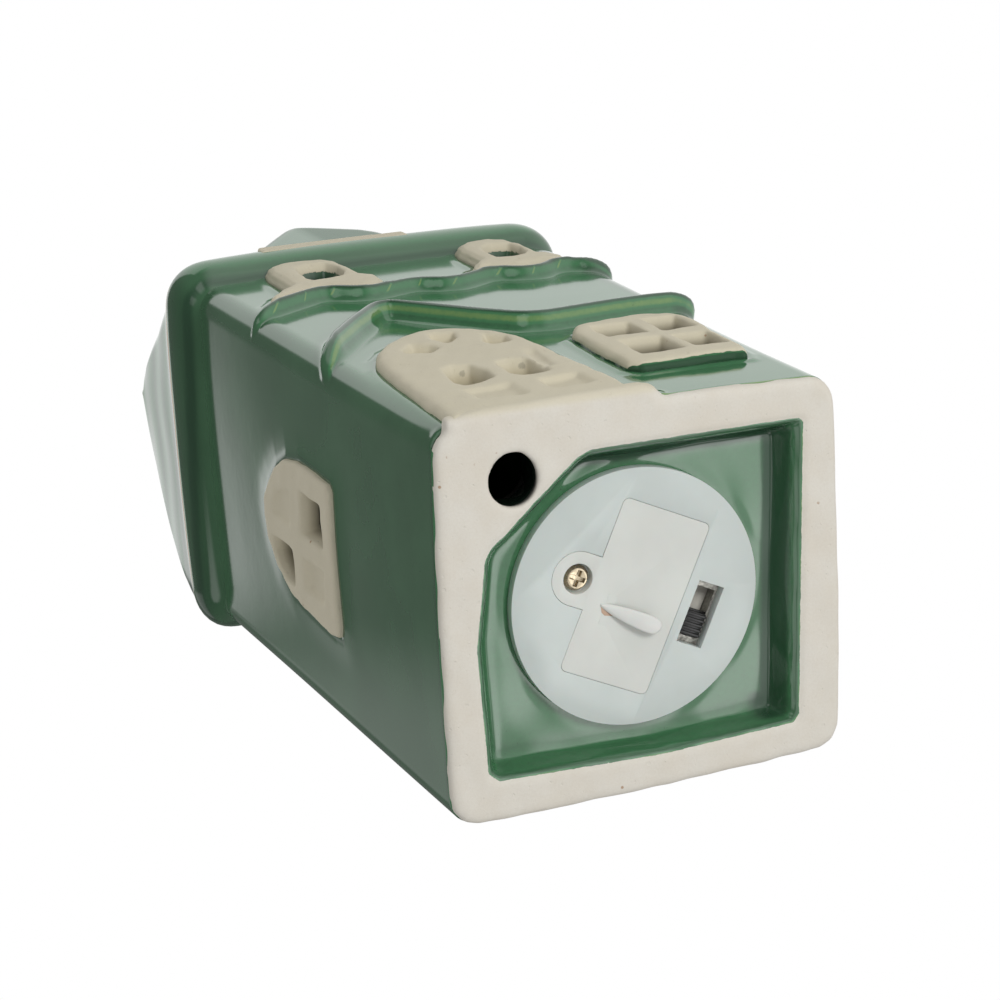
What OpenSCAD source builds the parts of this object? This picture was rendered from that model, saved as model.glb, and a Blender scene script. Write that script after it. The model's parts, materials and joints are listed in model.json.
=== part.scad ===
// A ceramic Christmas village house with an LED light unit in its foot.
// The front wall faces -Y, the foot stands on z = 0, and the origin is the centre of the foot.

/* [House] */
// Width of the house at its foot
house_w = 61; // [54:1:80]
// Depth of the house, front wall to back wall
house_d = 57; // [52:1:76]
// How much wider each side wall stands under the eave than at the foot
wall_lean = 1; // [0:0.5:2]
// Height of the walls, foot to eave
wall_h = 109; // [90:1:140]
// Thickness of the fired clay
wall_t = 4; // [3.4:0.2:5]
// Radius of the four upright corners
corner_r = 4; // [2:0.5:6]
// Rounding along the outer edge of the foot
foot_round = 1; // [0.4:0.2:2]

/* [Eave and roof] */
// Height of the eave band
eave_h = 8; // [5:0.5:12]
// How far the eave stands out past the walls
eave_out = 3.4; // [2:0.2:4.4]
// Height of the ridge above the eave
roof_rise = 25; // [16:1:40]
// Radius along the ridge
ridge_r = 2.6; // [1:0.2:4]

/* [Dormer] */
// Width of the dormer's gable
dormer_w = 25.8; // [16:0.2:30]
// How far the top of the gable stands left of the middle of the house
dormer_left = 4.6; // [0:0.2:8]
// Height of the gable above the eave
dormer_h = 20.6; // [12:0.2:22]
// Height of its straight sides above the eave
dormer_side = 5; // [2:0.5:9]
// Height of the bare strip along its foot
dormer_sill_h = 2.6; // [1.6:0.2:4]

/* [Foot and light seat] */
// Depth of the recess in the underside
recess_depth = 5.4; // [4.6:0.2:8]
// Room beside the light's flange inside the recess
recess_side_room = 3.6; // [2:0.1:4.6]
// Room in front of and behind the flange inside the recess
recess_room = 1.8; // [1.6:0.1:2.6]
// How far the recess walls slope inward from rim to floor
recess_draft = 1.8; // [0.6:0.2:2.6]
// Thickness of the clay floor that carries the light
floor_t = 3.6; // [3:0.2:5]
// How far the light sits behind the centre of the foot
seat_back = 1.3; // [0:0.1:2.5]
// Diameter of the vent hole in the corner of the foot
vent_d = 7.4; // [5:0.2:8]

/* [Door and windows] */
// Width of the arched double door
door_w = 26; // [20:1:30]
// Height of the door to the top of its arch
door_h = 53; // [40:1:62]
// Width of the square window beside the door
window_w = 20.4; // [16:0.2:22]
// Height of that window
window_h = 29; // [22:1:36]
// Height of its foot above the table
window_z = 15; // [8:1:20]
// Width of the two small upper windows
upper_w = 12.4; // [9:0.2:15]
// Height of the small upper windows
upper_h = 17.4; // [12:0.2:19]
// Width of the arched side windows
side_w = 24; // [18:1:30]
// Height of the arched side windows
side_h = 36; // [28:1:42]
// Height of the foot of the side windows
side_z = 42; // [30:1:50]
// How far doors and windows stand out of the wall
relief = 1.6; // [1:0.1:2.4]
// How far the ledges stand out of the wall
ledge_out = 2.6; // [1.6:0.1:3]
// Height of the doorstep
step_h = 2.6; // [1.6:0.2:4]

/* [Light unit] */
// Diameter of a button cell
cell_d = 11.6; // [9.5:0.1:14]
// Height of a button cell
cell_h = 5.4; // [3.6:0.1:7]
// How far the flange stands out past the cup
flange_w = 1.8; // [1.2:0.1:3]
// Thickness of the flange
flange_t = 1.6; // [1.2:0.1:2]
// Wall of the cup
cup_wall = 1.2; // [1:0.1:1.6]
// Room between the corners of the battery bay and the wall of the cup
cup_room = 1.14; // [0.6:0.02:3]
// How far the unit is turned in its seat
unit_turn = 25; // [0:5:90]
// Clearance between the cup and its seat in the clay
seat_gap = 0.3; // [0.2:0.05:0.4]
// Diameter of the LED
led_d = 5; // [3:1:5]

/* [Battery cover] */
// How far the cover laps over the edge of the battery bay
cover_lap = 1; // [0.6:0.1:1.6]
// Thickness of the battery cover
cover_t = 1.2; // [1:0.1:1.4]
// Radius of the ear that holds the screw
ear_r = 3.9; // [3.2:0.1:4.2]
// Distance from the edge of the cover to its screw
screw_past = 2.5; // [2:0.1:3.4]
// Gap all round the cover
cover_gap = 0.15; // [0.1:0.05:0.3]

/* [Switch] */
// Length of the knob
knob_l = 3.6; // [2.6:0.1:5]
// Width of the knob
knob_w = 3.2; // [2.4:0.1:4]
// How far the knob slides between off and on
switch_travel = 3.6; // [2:0.2:4.8]
// Room between the knob and the end of its slot
knob_room = 1.1; // [0.4:0.1:1.6]
// Room beside the knob in its slot
knob_side_room = 0.5; // [0.3:0.1:1]
// Distance from the edge of the cover to the slot
slot_past = 1.7; // [1.2:0.1:3]

/* [Hidden] */

$fn = 64;
// Number of sides of a rounded corner inside a hull or a tapered slab
soft_fn = 32;
// Thickness of the thin slabs that a hull joins
skin = 0.02;
// How far a cut runs past the face that it leaves
over = 1;

glaze = [0.27, 0.45, 0.34];
white_plastic = [0.82, 0.85, 0.84];
nickel = [0.66, 0.62, 0.56];
brass = [0.80, 0.65, 0.36];
black_plastic = [0.10, 0.10, 0.11];
board_green = [0.20, 0.42, 0.22];
resistor_tan = [0.76, 0.66, 0.48];
led_cream = [0.95, 0.90, 0.78];
switch_brown = [0.55, 0.38, 0.22];

front_y = -house_d / 2;
top_w = house_w + 2 * wall_lean;

// Battery bay, cup and flange, sized from the two cells
bay_gap = 0.3;
bay_wall = 1;
bay_l = 2 * cell_d + 3 * bay_gap;
bay_w = cell_d + 2 * bay_gap;
bay_corner = norm([bay_w / 2 + bay_wall, bay_l / 2 + bay_wall]);
inner_r = bay_corner + cup_room;
unit_r = inner_r + cup_wall;
flange_d = 2 * (unit_r + flange_w);

// Levels of the house
eave_top = wall_h + eave_h;
eave_top_out = 0.9 * eave_out;
ridge_z = eave_top + roof_rise;
floor_top = recess_depth + floor_t;
disc_z = recess_depth - flange_t;

// Recess: a rectangle with one cut corner, sized from the flange
recess_half_x = flange_d / 2 + recess_side_room + recess_draft;
recess_half_y = flange_d / 2 + recess_room + recess_draft;
recess_r = 2.4;
// The cut corner stands this far past the flange, on the diagonal
corner_room = 3.8;
corner_turn = 48;
vent_web = 1.7;
vent_reach = flange_d / 2 + corner_room + vent_web + vent_d / 2;
vent_x = -vent_reach * cos(corner_turn);
vent_y = seat_back - vent_reach * sin(corner_turn);
seat_ring_h = 0.8;
seat_ring_w = 1.2;
seat_ring_gap = 0.4;

// Hollow of the house
hollow_r = 2;
attic_gap = 1.5 * wall_t;
gable_r = 4;
gable_steps = 24;
// Sections of the roof: height above the eave and depth, as shares of the rise and of the eave's depth
roof_shares = [[0.43, 0.72], [0.7, 0.46]];

// Wall reliefs
relief_lip = 0.7;
relief_slope = 1;
relief_r = 2.2;
pane_lip = 0.6;
pane_r = 0.9;
bar_w = 2.2;
blind_depth = 1.2;
door_edge = 4.4;
door_rail = 3.4;
fan_edge = 3;
fan_drop = 2;
hub_r = 3.4;
window_edge = 2.8;
upper_edge = 3;
door_margin = 4;
door_x = -house_w / 2 + door_margin + door_w / 2;
door_spring = door_h - door_w / 2;
window_margin = 4;
window_x = house_w / 2 - window_margin - window_w / 2;
upper_gap = 0;
upper_sill_h = 5;
upper_sill_out = 0.8;
upper_sill_past = 3.8;
upper_sill_w = upper_w + 2 * upper_sill_past;
upper_sill_shift = -2.2;
upper_z = wall_h - upper_gap - upper_h;
upper_shares = [-0.42, 0.67];
side_shift = 2.5;

// Ledges: heights along the front wall, from its left edge to its right one
ledge_w = 3.4;
course_w = 2.6;
course_out = 1.6;
ledge_low_drop = 4.4;
ledge_peak_rise = 15;
ledge_end_drop = 7;
hood_shift = 0.6;
ledge_low = door_h - ledge_low_drop;
ledge_peak = door_h + ledge_peak_rise;
ledge_end_z = door_h - ledge_end_drop;
hood_x = door_x + hood_shift;
hood_r = 5;
wave_h = 1.5;
wave_count = 5;
course_z = upper_z - upper_sill_h - course_w / 2 - 0.6 * wave_h;
bead_steps = 24;
// A bead's section: across as a share of its half width, out as a share of its projection
bead_shares = [[-1, -0.35], [-1, 0.45], [-0.62, 0.88], [0, 1], [0.62, 0.88], [1, 0.45], [1, -0.35]];

// Doorstep
step_out = 2.2;
step_x0 = door_x - door_w / 2;
step_past = 3;
step_x1 = door_x + door_w / 2 + step_past;

// Light base
pocket_roof_t = 0.9;
bridge_t = 0.3;
strip_t = 0.15;
cell_z = cover_t + bridge_t + 2 * strip_t;
cell_y = cell_d / 2 + bay_gap / 2;
leaf_gap = 0.1;
leaf_t = 0.3;
bay_top = cell_z + cell_h + leaf_gap + 2 * leaf_t;
ceiling_t = 1;
post_h = 1;
post_d = 3.6;
post_past = 1.5;
board_z = bay_top + ceiling_t + post_h;
board_t = 1;
board_screw_y = 5.4;
board_screw_x = -(bay_w / 2 + post_past);
board_screw_d = 1.4;
board_screw_l = 2.6;
board_head_d = 2.8;
board_head_h = 0.9;
pilot_gap = 0.05;
board_pilot_r = board_screw_d / 2 + pilot_gap;

// Circuit board
board_edge = 0.75;
board_x0 = board_screw_x - post_d / 2 - board_edge;
board_r = 1.5;

// Contact leaves
leaf_l = 6;
leaf_w = 4;
leaf_x = 3.6;
leaf_tail_w = 1.2;
leaf_tail_t = 0.3;
tail_over = 0.8;
dimple_r = 1.2;
tail_slit_t = leaf_tail_t + 2 * bay_gap;
tail_slit_w = leaf_tail_w + 2 * bay_gap;
board_w = 2 * (cell_y + leaf_tail_w / 2 + board_edge);

// Cover and its screw
cover_l = bay_l + 2 * cover_lap;
cover_w = bay_w + 2 * cover_lap;
screw_x = cover_w / 2 + screw_past;
cover_r = 0.8;
ear_t = 2.4;
pocket_r = ear_r + cover_gap;
head_d = 3.8;
head_h = 1.2;
head_gap = 0.35;
sink_depth = 1.4;
shank_d = 2;
shank_l = 4.6;
screw_clear = 0.2;
boss_d = 5.2;
boss_h = 8;
cross_w = 0.6;
cross_l = 2.4;
cross_h = 0.7;

// Pull tab
tab_w = 2.8;
tab_l = 10.4;
tab_x = -3.4;
tab_y = 3;
tab_slit = 0.6;
tab_inner_l = 6;
tab_drop = 4;
tab_turn = 6;

// Cap
cap_t = 1.2;
cap_skirt_h = 2.2;
cap_skirt_t = 1.2;
cap_gap = 0.1;
cap_room = 0.1;
skirt_r = inner_r - cap_gap;
cup_h = board_z + board_t + cap_room + cap_skirt_h;
cap_dome = 1.4;
led_gap = 0.3;

// Slide switch
slot_l = knob_l + switch_travel + 2 * knob_room;
slot_w = knob_w + 2 * knob_side_room;
slot_x = cover_w / 2 + slot_past + slot_w / 2;
switch_lap = 0.4;
switch_l = slot_l + 2 * switch_lap;
switch_w = slot_w + 2 * switch_lap;
switch_case_h = 3.6;
case_t = 0.3;
switch_base_t = 0.9;
board_x1 = slot_x + slot_w / 2;
knob_sink = 0.7;
knob_plate_t = 0.8;
knob_plate_l = 4;
knob_gap = 0.15;
rib_count = 5;
rib_h = 0.35;
pin_w = 0.6;
pin_t = 0.3;
pin_pitch = 2.5;
wiper_t = 0.2;
wiper_w = 1.6;
wiper_h = 0.5;
switch_z = flange_t;
switch_y = -0.4;

// LED and resistor
led_lift = 0.6;
led_rim = 0.4;
led_rim_h = 1;
led_h = 8.6;
leg_w = 0.5;
leg_pitch = 2.54;
resistor_d = 1.8;
resistor_l = 3.6;
resistor_x = 5.6;
resistor_y = -4.4;
wire_d = 0.5;

// Flat shapes

module rounded(w, l, r) {
    square([w - 2 * r, l], center = true);
    square([w, l - 2 * r], center = true);
    for (sx = [-1, 1], sy = [-1, 1])
        translate([sx * (w / 2 - r), sy * (l / 2 - r)])
            circle(r);
}

// An outline with straight sides and a round top, its foot at the origin
module arched(w, h) {
    translate([0, (h - w / 2) / 2])
        square([w, h - w / 2], center = true);
    intersection() {
        translate([0, h - w / 2])
            circle(w / 2);
        translate([0, h / 2])
            square([w, h], center = true);
    }
}

// A slab of a rounded rectangle, standing on z
module slab(w, l, r, z, t = skin) {
    translate([0, 0, z])
        linear_extrude(t)
            rounded(w, l, r, $fn = soft_fn);
}

// House

// Puts a shape drawn in X and Z on the front wall, with its thickness to the outside
module on_front(sink = 0) {
    translate([0, front_y + sink, 0])
        rotate([90, 0, 0])
            children();
}

// The same for the side walls: side is -1 for the left and 1 for the right
module on_side(side, sink = 0) {
    rotate([0, 0, side * 90])
        translate([0, -house_w / 2 + sink, 0])
            rotate([90, 0, 0])
                children();
}

module outer_walls() {
    hull() {
        slab(house_w - 2 * foot_round, house_d - 2 * foot_round, corner_r, 0);
        slab(house_w, house_d, corner_r, foot_round);
        slab(top_w, house_d, corner_r, wall_h);
        slab(top_w, house_d, corner_r, wall_h + eave_h / 2);
    }
}

module eave_band() {
    // Height and reach of the band's section, as shares of its height and its overhang
    band_shares = [[0.02, 0], [0.18, 0.45], [0.45, 0.85], [0.8, 1], [1, 0.9]];
    hull()
        for (s = band_shares)
            slab(top_w + 2 * eave_out * s[1], house_d + 2 * eave_out * s[1],
                corner_r + eave_out * s[1], wall_h + eave_h * s[0]);
}

module roof() {
    reach = top_w / 2 + eave_top_out - ridge_r;
    hull() {
        slab(top_w + 2 * eave_top_out, house_d + 2 * eave_top_out, corner_r + eave_top_out, eave_top - skin);
        for (s = roof_shares)
            slab(top_w + 2 * eave_top_out, s[1] * (house_d + 2 * eave_top_out), corner_r,
                eave_top + s[0] * roof_rise);
        for (sx = [-1, 1])
            translate([sx * reach, 0, ridge_z - ridge_r])
                sphere(ridge_r, $fn = soft_fn);
    }
}

// Height of the dormer's outline above the eave, x measured from its middle
function gable_z(x) = let (
        down = (dormer_h - dormer_side) * abs(x) / (dormer_w / 2),
        soft = sqrt(down * down + gable_r * gable_r) - gable_r
    )
    dormer_h - soft;

module dormer() {
    depth = house_d / 2 + eave_top_out;
    top = [for (i = [0:gable_steps]) let (x = dormer_w * (0.5 - i / gable_steps)) [x, gable_z(x)]];
    translate([-dormer_left, 0, eave_top])
        rotate([90, 0, 0])
            linear_extrude(depth)
                polygon(concat([[-dormer_w / 2, -over], [dormer_w / 2, -over]], top));
}

// The bare strip along the dormer's foot, flush with the widest line of the eave
module dormer_strip() {
    translate([-dormer_left - dormer_w / 2, front_y - eave_out, eave_top - over])
        cube([dormer_w, eave_out, dormer_sill_h + over]);
}

module hollow() {
    hull() {
        slab(house_w - 2 * wall_t, house_d - 2 * wall_t, hollow_r, floor_top);
        slab(top_w - 2 * wall_t, house_d - 2 * wall_t, hollow_r, wall_h);
    }
    hull() {
        slab(top_w - 2 * wall_t, house_d - 2 * wall_t, hollow_r, wall_h - skin);
        translate([0, 0, ridge_z - attic_gap])
            cube([top_w - 2 * wall_t, ridge_r, skin], center = true);
    }
}

// The recess in the underside: its rim at z = 0, its floor at recess_depth
module recess() {
    hull()
        for (s = [0, 1]) {
            half_x = recess_half_x - s * recess_draft;
            half_y = recess_half_y - s * recess_draft;
            cut = flange_d / 2 + corner_room - s * recess_draft;
            translate([0, seat_back, s * recess_depth - (1 - s) * skin])
                linear_extrude(skin)
                    intersection() {
                        rounded(2 * half_x, 2 * half_y, recess_r, $fn = soft_fn);
                        rotate([0, 0, corner_turn])
                            translate([-cut, -2 * half_x])
                                square([4 * half_x, 4 * half_x]);
                    }
        }
}

// A glazed collar on the recess floor, round the flange
module seat_ring() {
    inner = flange_d / 2 + seat_ring_gap;
    translate([0, seat_back, recess_depth - seat_ring_h])
        difference() {
            cylinder(seat_ring_h + over, inner + seat_ring_w, inner + seat_ring_w);
            translate([0, 0, -over])
                cylinder(seat_ring_h + 3 * over, inner, inner);
        }
}

// Doors and windows are slabs with a straight lip and a sloping edge
module relief_slab(w, h) {
    taper = [1 - 2 * relief_slope / w, 1 - 2 * relief_slope / h];
    linear_extrude(relief_lip + over)
        children();
    translate([0, h / 2, relief_lip + over])
        linear_extrude(relief - relief_lip, scale = taper, slices = 1)
            translate([0, -h / 2])
                children();
}

// A pane: a pocket with sloping sides, cut through the wall when pierced
module pane(w, h, pierced) {
    depth = pierced ? wall_t + relief + 2 * over : blind_depth;
    translate([0, 0, -blind_depth])
        linear_extrude(blind_depth + over)
            rounded(w, h, pane_r);
    if (pierced)
        translate([0, 0, -depth])
            linear_extrude(depth)
                rounded(w - 2 * pane_lip, h - 2 * pane_lip, pane_r);
}

// Panes inside a w by h frame whose border is edge wide; pierced says row by row which go through
module pane_grid(w, h, edge, pierced) {
    rows = len(pierced);
    columns = len(pierced[0]);
    pane_w = (w - 2 * edge - (columns - 1) * bar_w) / columns;
    pane_h = (h - 2 * edge - (rows - 1) * bar_w) / rows;
    for (c = [0:columns - 1], r = [0:rows - 1])
        translate([
            (c + 0.5 - columns / 2) * (pane_w + bar_w),
            edge + pane_h / 2 + r * (pane_h + bar_w),
            0
        ])
            pane(pane_w, pane_h, pierced[r][c]);
}

module front_slabs() {
    translate([door_x, 0])
        relief_slab(door_w, door_h)
            arched(door_w, door_h, $fn = soft_fn);
    translate([window_x, window_z])
        relief_slab(window_w, window_h)
            translate([0, window_h / 2])
                rounded(window_w, window_h, relief_r, $fn = soft_fn);
    for (share = upper_shares)
        translate([share * house_w / 2, upper_z]) {
            relief_slab(upper_w, upper_h)
                translate([0, upper_h / 2])
                    rounded(upper_w, upper_h, relief_r, $fn = soft_fn);
            translate([upper_sill_shift, -upper_sill_h])
                linear_extrude(over + relief + upper_sill_out)
                    translate([0, upper_sill_h / 2])
                        rounded(upper_sill_w, upper_sill_h, upper_sill_h / 2.2);
        }
}

// The blind panes of the door's fan, spread round a hub just under the spring of its arch
module fan_panes() {
    blades = 3;
    turn = 180 / blades;
    near = bar_w / 2 / sin(turn / 2);
    far_x = near + door_w * cos(turn / 2);
    far_y = door_w * sin(turn / 2);
    translate([door_x, door_spring - fan_drop, relief - blind_depth])
        linear_extrude(blind_depth + over)
            for (i = [0:blades - 1])
                intersection() {
                    difference() {
                        translate([0, fan_drop])
                            circle(door_w / 2 - fan_edge);
                        circle(hub_r);
                    }
                    rotate([0, 0, (i + 0.5) * turn])
                        polygon([[near, 0], [far_x, -far_y], [far_x, far_y]]);
                }
}

module front_panes() {
    fan_panes();
    translate([door_x, 0, relief])
        pane_grid(door_w, door_spring - door_rail, door_edge, [[false, false], [true, true]]);
    translate([window_x, window_z, relief])
        pane_grid(window_w, window_h, window_edge, [[true, true], [true, true]]);
    for (share = upper_shares)
        translate([share * house_w / 2, upper_z, relief])
            pane_grid(upper_w, upper_h, upper_edge, [[true]]);
}

module side_slabs() {
    translate([side_shift, side_z])
        relief_slab(side_w, side_h)
            arched(side_w, side_h, $fn = soft_fn);
}

module side_panes() {
    translate([side_shift, side_z, relief])
        pane_grid(side_w, side_h - side_w / 6, window_edge + bar_w / 2, [[true, false], [false, true]]);
}

// A rounded bead along a line of [x, z] points on the front wall
module bead(line, half_w, out) {
    n = len(line);
    m = len(bead_shares);
    points = [
        for (i = [0:n - 1])
            let (
                a = line[max(i - 1, 0)],
                b = line[min(i + 1, n - 1)],
                d = (b - a) / norm(b - a)
            )
            for (s = bead_shares)
                [line[i][0] - d[1] * half_w * s[0], front_y - out * s[1], line[i][1] + d[0] * half_w * s[0]]
    ];
    sides = [
        for (i = [0:n - 2], j = [0:m - 1])
            let (a = i * m + j, b = i * m + (j + 1) % m, c = b + m, d = a + m)
            each [[a, b, c], [a, c, d]]
    ];
    caps = [
        for (j = [1:m - 2])
            each [[0, j + 1, j], [(n - 1) * m, (n - 1) * m + j, (n - 1) * m + j + 1]]
    ];
    polyhedron(points, concat(sides, caps), convexity = 6);
}

// Height of the lower ledge along the front: a hood over the door, then level to the right
function hood_z(x) = let (
        rise = (ledge_peak - ledge_end_z) / (hood_x + house_w / 2),
        fall = (ledge_peak - ledge_low) / (house_w / 3),
        down = x < hood_x ? rise * (hood_x - x) : fall * (x - hood_x),
        soft = sqrt(down * down + hood_r * hood_r) - hood_r
    )
    max(ledge_peak - soft, x < hood_x ? 0 : ledge_low);

function wave_z(x) = course_z + wave_h * sin(360 * wave_count * x / house_w) * cos(140 * x / house_w);

module ledges() {
    reach = house_w / 2 - corner_r / 2;
    steps = [for (i = [0:bead_steps]) -reach + 2 * reach * i / bead_steps];
    bead([for (x = steps) [x, hood_z(x)]], ledge_w / 2, ledge_out);
    bead([for (x = steps) [x, wave_z(x)]], course_w / 2, course_out);
}

module doorstep() {
    length = step_x1 - step_x0;
    translate([(step_x0 + step_x1) / 2, front_y + over / 2 - step_out / 2, 0])
        linear_extrude(step_h)
            rounded(length, step_out + over, over);
}

module house_shell() {
    color(glaze)
        difference() {
            union() {
                outer_walls();
                eave_band();
                roof();
                dormer();
                dormer_strip();
                ledges();
                doorstep();
                on_front(over)
                    front_slabs();
                for (side = [-1, 1])
                    on_side(side, over)
                        side_slabs();
            }
            hollow();
            difference() {
                recess();
                seat_ring();
            }
            translate([0, seat_back, 0])
                cylinder(floor_top + over, unit_r + seat_gap, unit_r + seat_gap);
            translate([vent_x, vent_y, -over])
                cylinder(floor_top + 2 * over, vent_d / 2, vent_d / 2);
            on_front()
                front_panes();
            for (side = [-1, 1])
                on_side(side)
                    side_panes();
        }
}

// Light unit, drawn with its underside at z = 0 and its slot on +X

module in_unit() {
    translate([0, seat_back, disc_z])
        rotate([0, 0, unit_turn])
            children();
}

module cover_outline(grow) {
    rounded(cover_w + 2 * grow, cover_l + 2 * grow, cover_r + grow);
    translate([-screw_x, 0])
        circle(ear_r + grow);
    translate([-screw_x / 2, 0])
        square([screw_x, 2 * (ear_r + grow)], center = true);
}

module light_base() {
    color(white_plastic)
        in_unit()
            difference() {
                union() {
                    cylinder(flange_t, flange_d / 2, flange_d / 2);
                    difference() {
                        cylinder(cup_h, unit_r, unit_r);
                        translate([0, 0, flange_t])
                            cylinder(cup_h, inner_r, inner_r);
                    }
                    // Walls and ceiling of the battery bay
                    linear_extrude(bay_top + ceiling_t)
                        rounded(bay_w + 2 * bay_wall, bay_l + 2 * bay_wall, cover_r);
                    translate([-screw_x, 0, 0])
                        cylinder(boss_h, boss_d / 2, boss_d / 2);
                    for (sy = [-1, 1])
                        translate([board_screw_x, sy * board_screw_y, 0])
                            cylinder(board_z, post_d / 2, post_d / 2);
                    // Room round the ear of the cover
                    translate([-screw_x, 0, 0])
                        cylinder(ear_t + pocket_roof_t, pocket_r + bay_wall, pocket_r + bay_wall);
                }
                translate([0, 0, -over])
                    linear_extrude(cover_t + over)
                        cover_outline(cover_gap);
                translate([-screw_x, 0, -over])
                    cylinder(ear_t + over, pocket_r, pocket_r);
                translate([0, 0, -over])
                    linear_extrude(bay_top + over)
                        rounded(bay_w, bay_l, cover_r);
                translate([-screw_x, 0, 0])
                    cylinder(ear_t + shank_l + over, shank_d / 2 + pilot_gap, shank_d / 2 + pilot_gap);
                for (sy = [-1, 1])
                    translate([board_screw_x, sy * board_screw_y, board_z + board_t - board_screw_l])
                        cylinder(board_screw_l, board_pilot_r, board_pilot_r);
                // Slits for the tails of the two contact leaves
                for (sy = [-1, 1])
                    translate([leaf_x, sy * cell_y, bay_top + ceiling_t / 2])
                        cube([tail_slit_t, tail_slit_w, ceiling_t + 2 * over], center = true);
                translate([slot_x, switch_y, 0])
                    cube([slot_w, slot_l, 3 * flange_t], center = true);
            }
}

// side is -1 for the front cell and 1 for the back one
module contact_leaf(side) {
    translate([0, side * cell_y, 0]) {
        translate([leaf_x - leaf_l / 2, 0, bay_top - leaf_t / 2])
            cube([leaf_l, leaf_w, leaf_t], center = true);
        translate([leaf_x - leaf_l / 2 - dimple_r / 2, 0, bay_top - 2 * leaf_t])
            cylinder(leaf_t + leaf_t / 2, dimple_r / 2, dimple_r);
        translate([leaf_x - leaf_tail_t, -leaf_tail_w / 2, bay_top - leaf_t])
            cube([leaf_tail_t, leaf_tail_w, board_z + board_t + tail_over - bay_top + leaf_t]);
    }
}

module contact_positive() {
    color(nickel)
        in_unit()
            contact_leaf(-1);
}

module contact_negative() {
    color(nickel)
        in_unit()
            contact_leaf(1);
}

module contact_bridge() {
    length = 2 * cell_y + leaf_w;
    color(nickel)
        in_unit()
            difference() {
                translate([0, 0, cover_t])
                    linear_extrude(bridge_t)
                        rounded(leaf_l, length, cover_r);
                translate([tab_x, tab_y, cover_t])
                    cube([2 * tab_slit, tab_w + tab_slit, 2 * over], center = true);
            }
}

module battery_cover() {
    color(white_plastic)
        in_unit()
            difference() {
                union() {
                    linear_extrude(cover_t)
                        cover_outline(0);
                    translate([-screw_x, 0, 0])
                        cylinder(ear_t, ear_r, ear_r);
                }
                translate([-screw_x, 0, -over])
                    cylinder(ear_t + 2 * over, shank_d / 2 + screw_clear, shank_d / 2 + screw_clear);
                translate([-screw_x, 0, -over])
                    cylinder(sink_depth + over, head_d / 2 + head_gap, head_d / 2 + head_gap);
                translate([tab_x, tab_y, 0])
                    cube([tab_slit, tab_w + tab_slit, 3 * cover_t], center = true);
            }
}

module cover_screw() {
    color(nickel)
        in_unit()
            translate([-screw_x, 0, sink_depth])
                difference() {
                    union() {
                        translate([0, 0, -head_h / 2])
                            cylinder(head_h / 2, head_d / 2, head_d / 2);
                        translate([0, 0, -head_h])
                            cylinder(head_h / 2, head_d / 2 - head_h / 3, head_d / 2);
                        cylinder(shank_l, shank_d / 2, shank_d / 2);
                    }
                    for (turn = [0, 90])
                        rotate([0, 0, turn])
                            translate([0, 0, -head_h])
                                cube([cross_l, cross_w, 2 * cross_h], center = true);
                }
}

// A flat strip: it lies under the cover's inner face, comes down the slit and lies along the cover
module pull_tab() {
    color(white_plastic)
        in_unit()
            translate([tab_x, tab_y, 0]) {
                translate([0, -tab_w / 2, cover_t + bridge_t + strip_t / 2])
                    cube([tab_inner_l, tab_w, strip_t]);
                translate([-strip_t / 2, -tab_w / 2, -strip_t])
                    cube([strip_t, tab_w, cover_t + bridge_t + 2 * strip_t]);
                rotate([0, tab_drop, tab_turn])
                    translate([0, 0, -2 * strip_t])
                        linear_extrude(strip_t)
                            tab_leaf();
            }
}

module tab_leaf() {
    tip_r = tab_w * 0.55;
    root_r = tab_w * 0.25;
    hull() {
        circle(root_r);
        translate([tab_l - 2 * tip_r, 0])
            circle(tip_r);
        translate([tab_l - root_r, 0])
            circle(root_r);
    }
}

module button_cell(up) {
    rim = 0.6;
    step = 0.5;
    rotate([up ? 0 : 180, 0, 0])
        translate([0, 0, -cell_h / 2]) {
            cylinder(cell_h - step, cell_d / 2, cell_d / 2);
            translate([0, 0, cell_h - step])
                cylinder(step, cell_d / 2 - 2 * rim, cell_d / 2 - 3 * rim);
        }
}

module cell_front() {
    color(nickel)
        in_unit()
            translate([0, -cell_y, cell_z + cell_h / 2])
                button_cell(true);
}

module cell_back() {
    color(nickel)
        in_unit()
            translate([0, cell_y, cell_z + cell_h / 2])
                button_cell(false);
}

module light_cap() {
    hole_r = led_d / 2 + led_rim + led_gap;
    color(white_plastic)
        in_unit()
            translate([0, 0, cup_h])
                difference() {
                    union() {
                        cylinder(cap_t, unit_r, unit_r);
                        translate([0, 0, cap_t])
                            cylinder(cap_dome, unit_r - cap_dome, hole_r + 2 * cap_dome);
                        translate([0, 0, -cap_skirt_h])
                            cylinder(cap_skirt_h, skirt_r, skirt_r);
                    }
                    translate([0, 0, -cap_skirt_h - over])
                        cylinder(cap_skirt_h + over, skirt_r - cap_skirt_t, skirt_r - cap_skirt_t);
                    translate([0, 0, -over])
                        cylinder(cap_t + cap_dome + 2 * over, hole_r, hole_r);
                }
}

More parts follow.
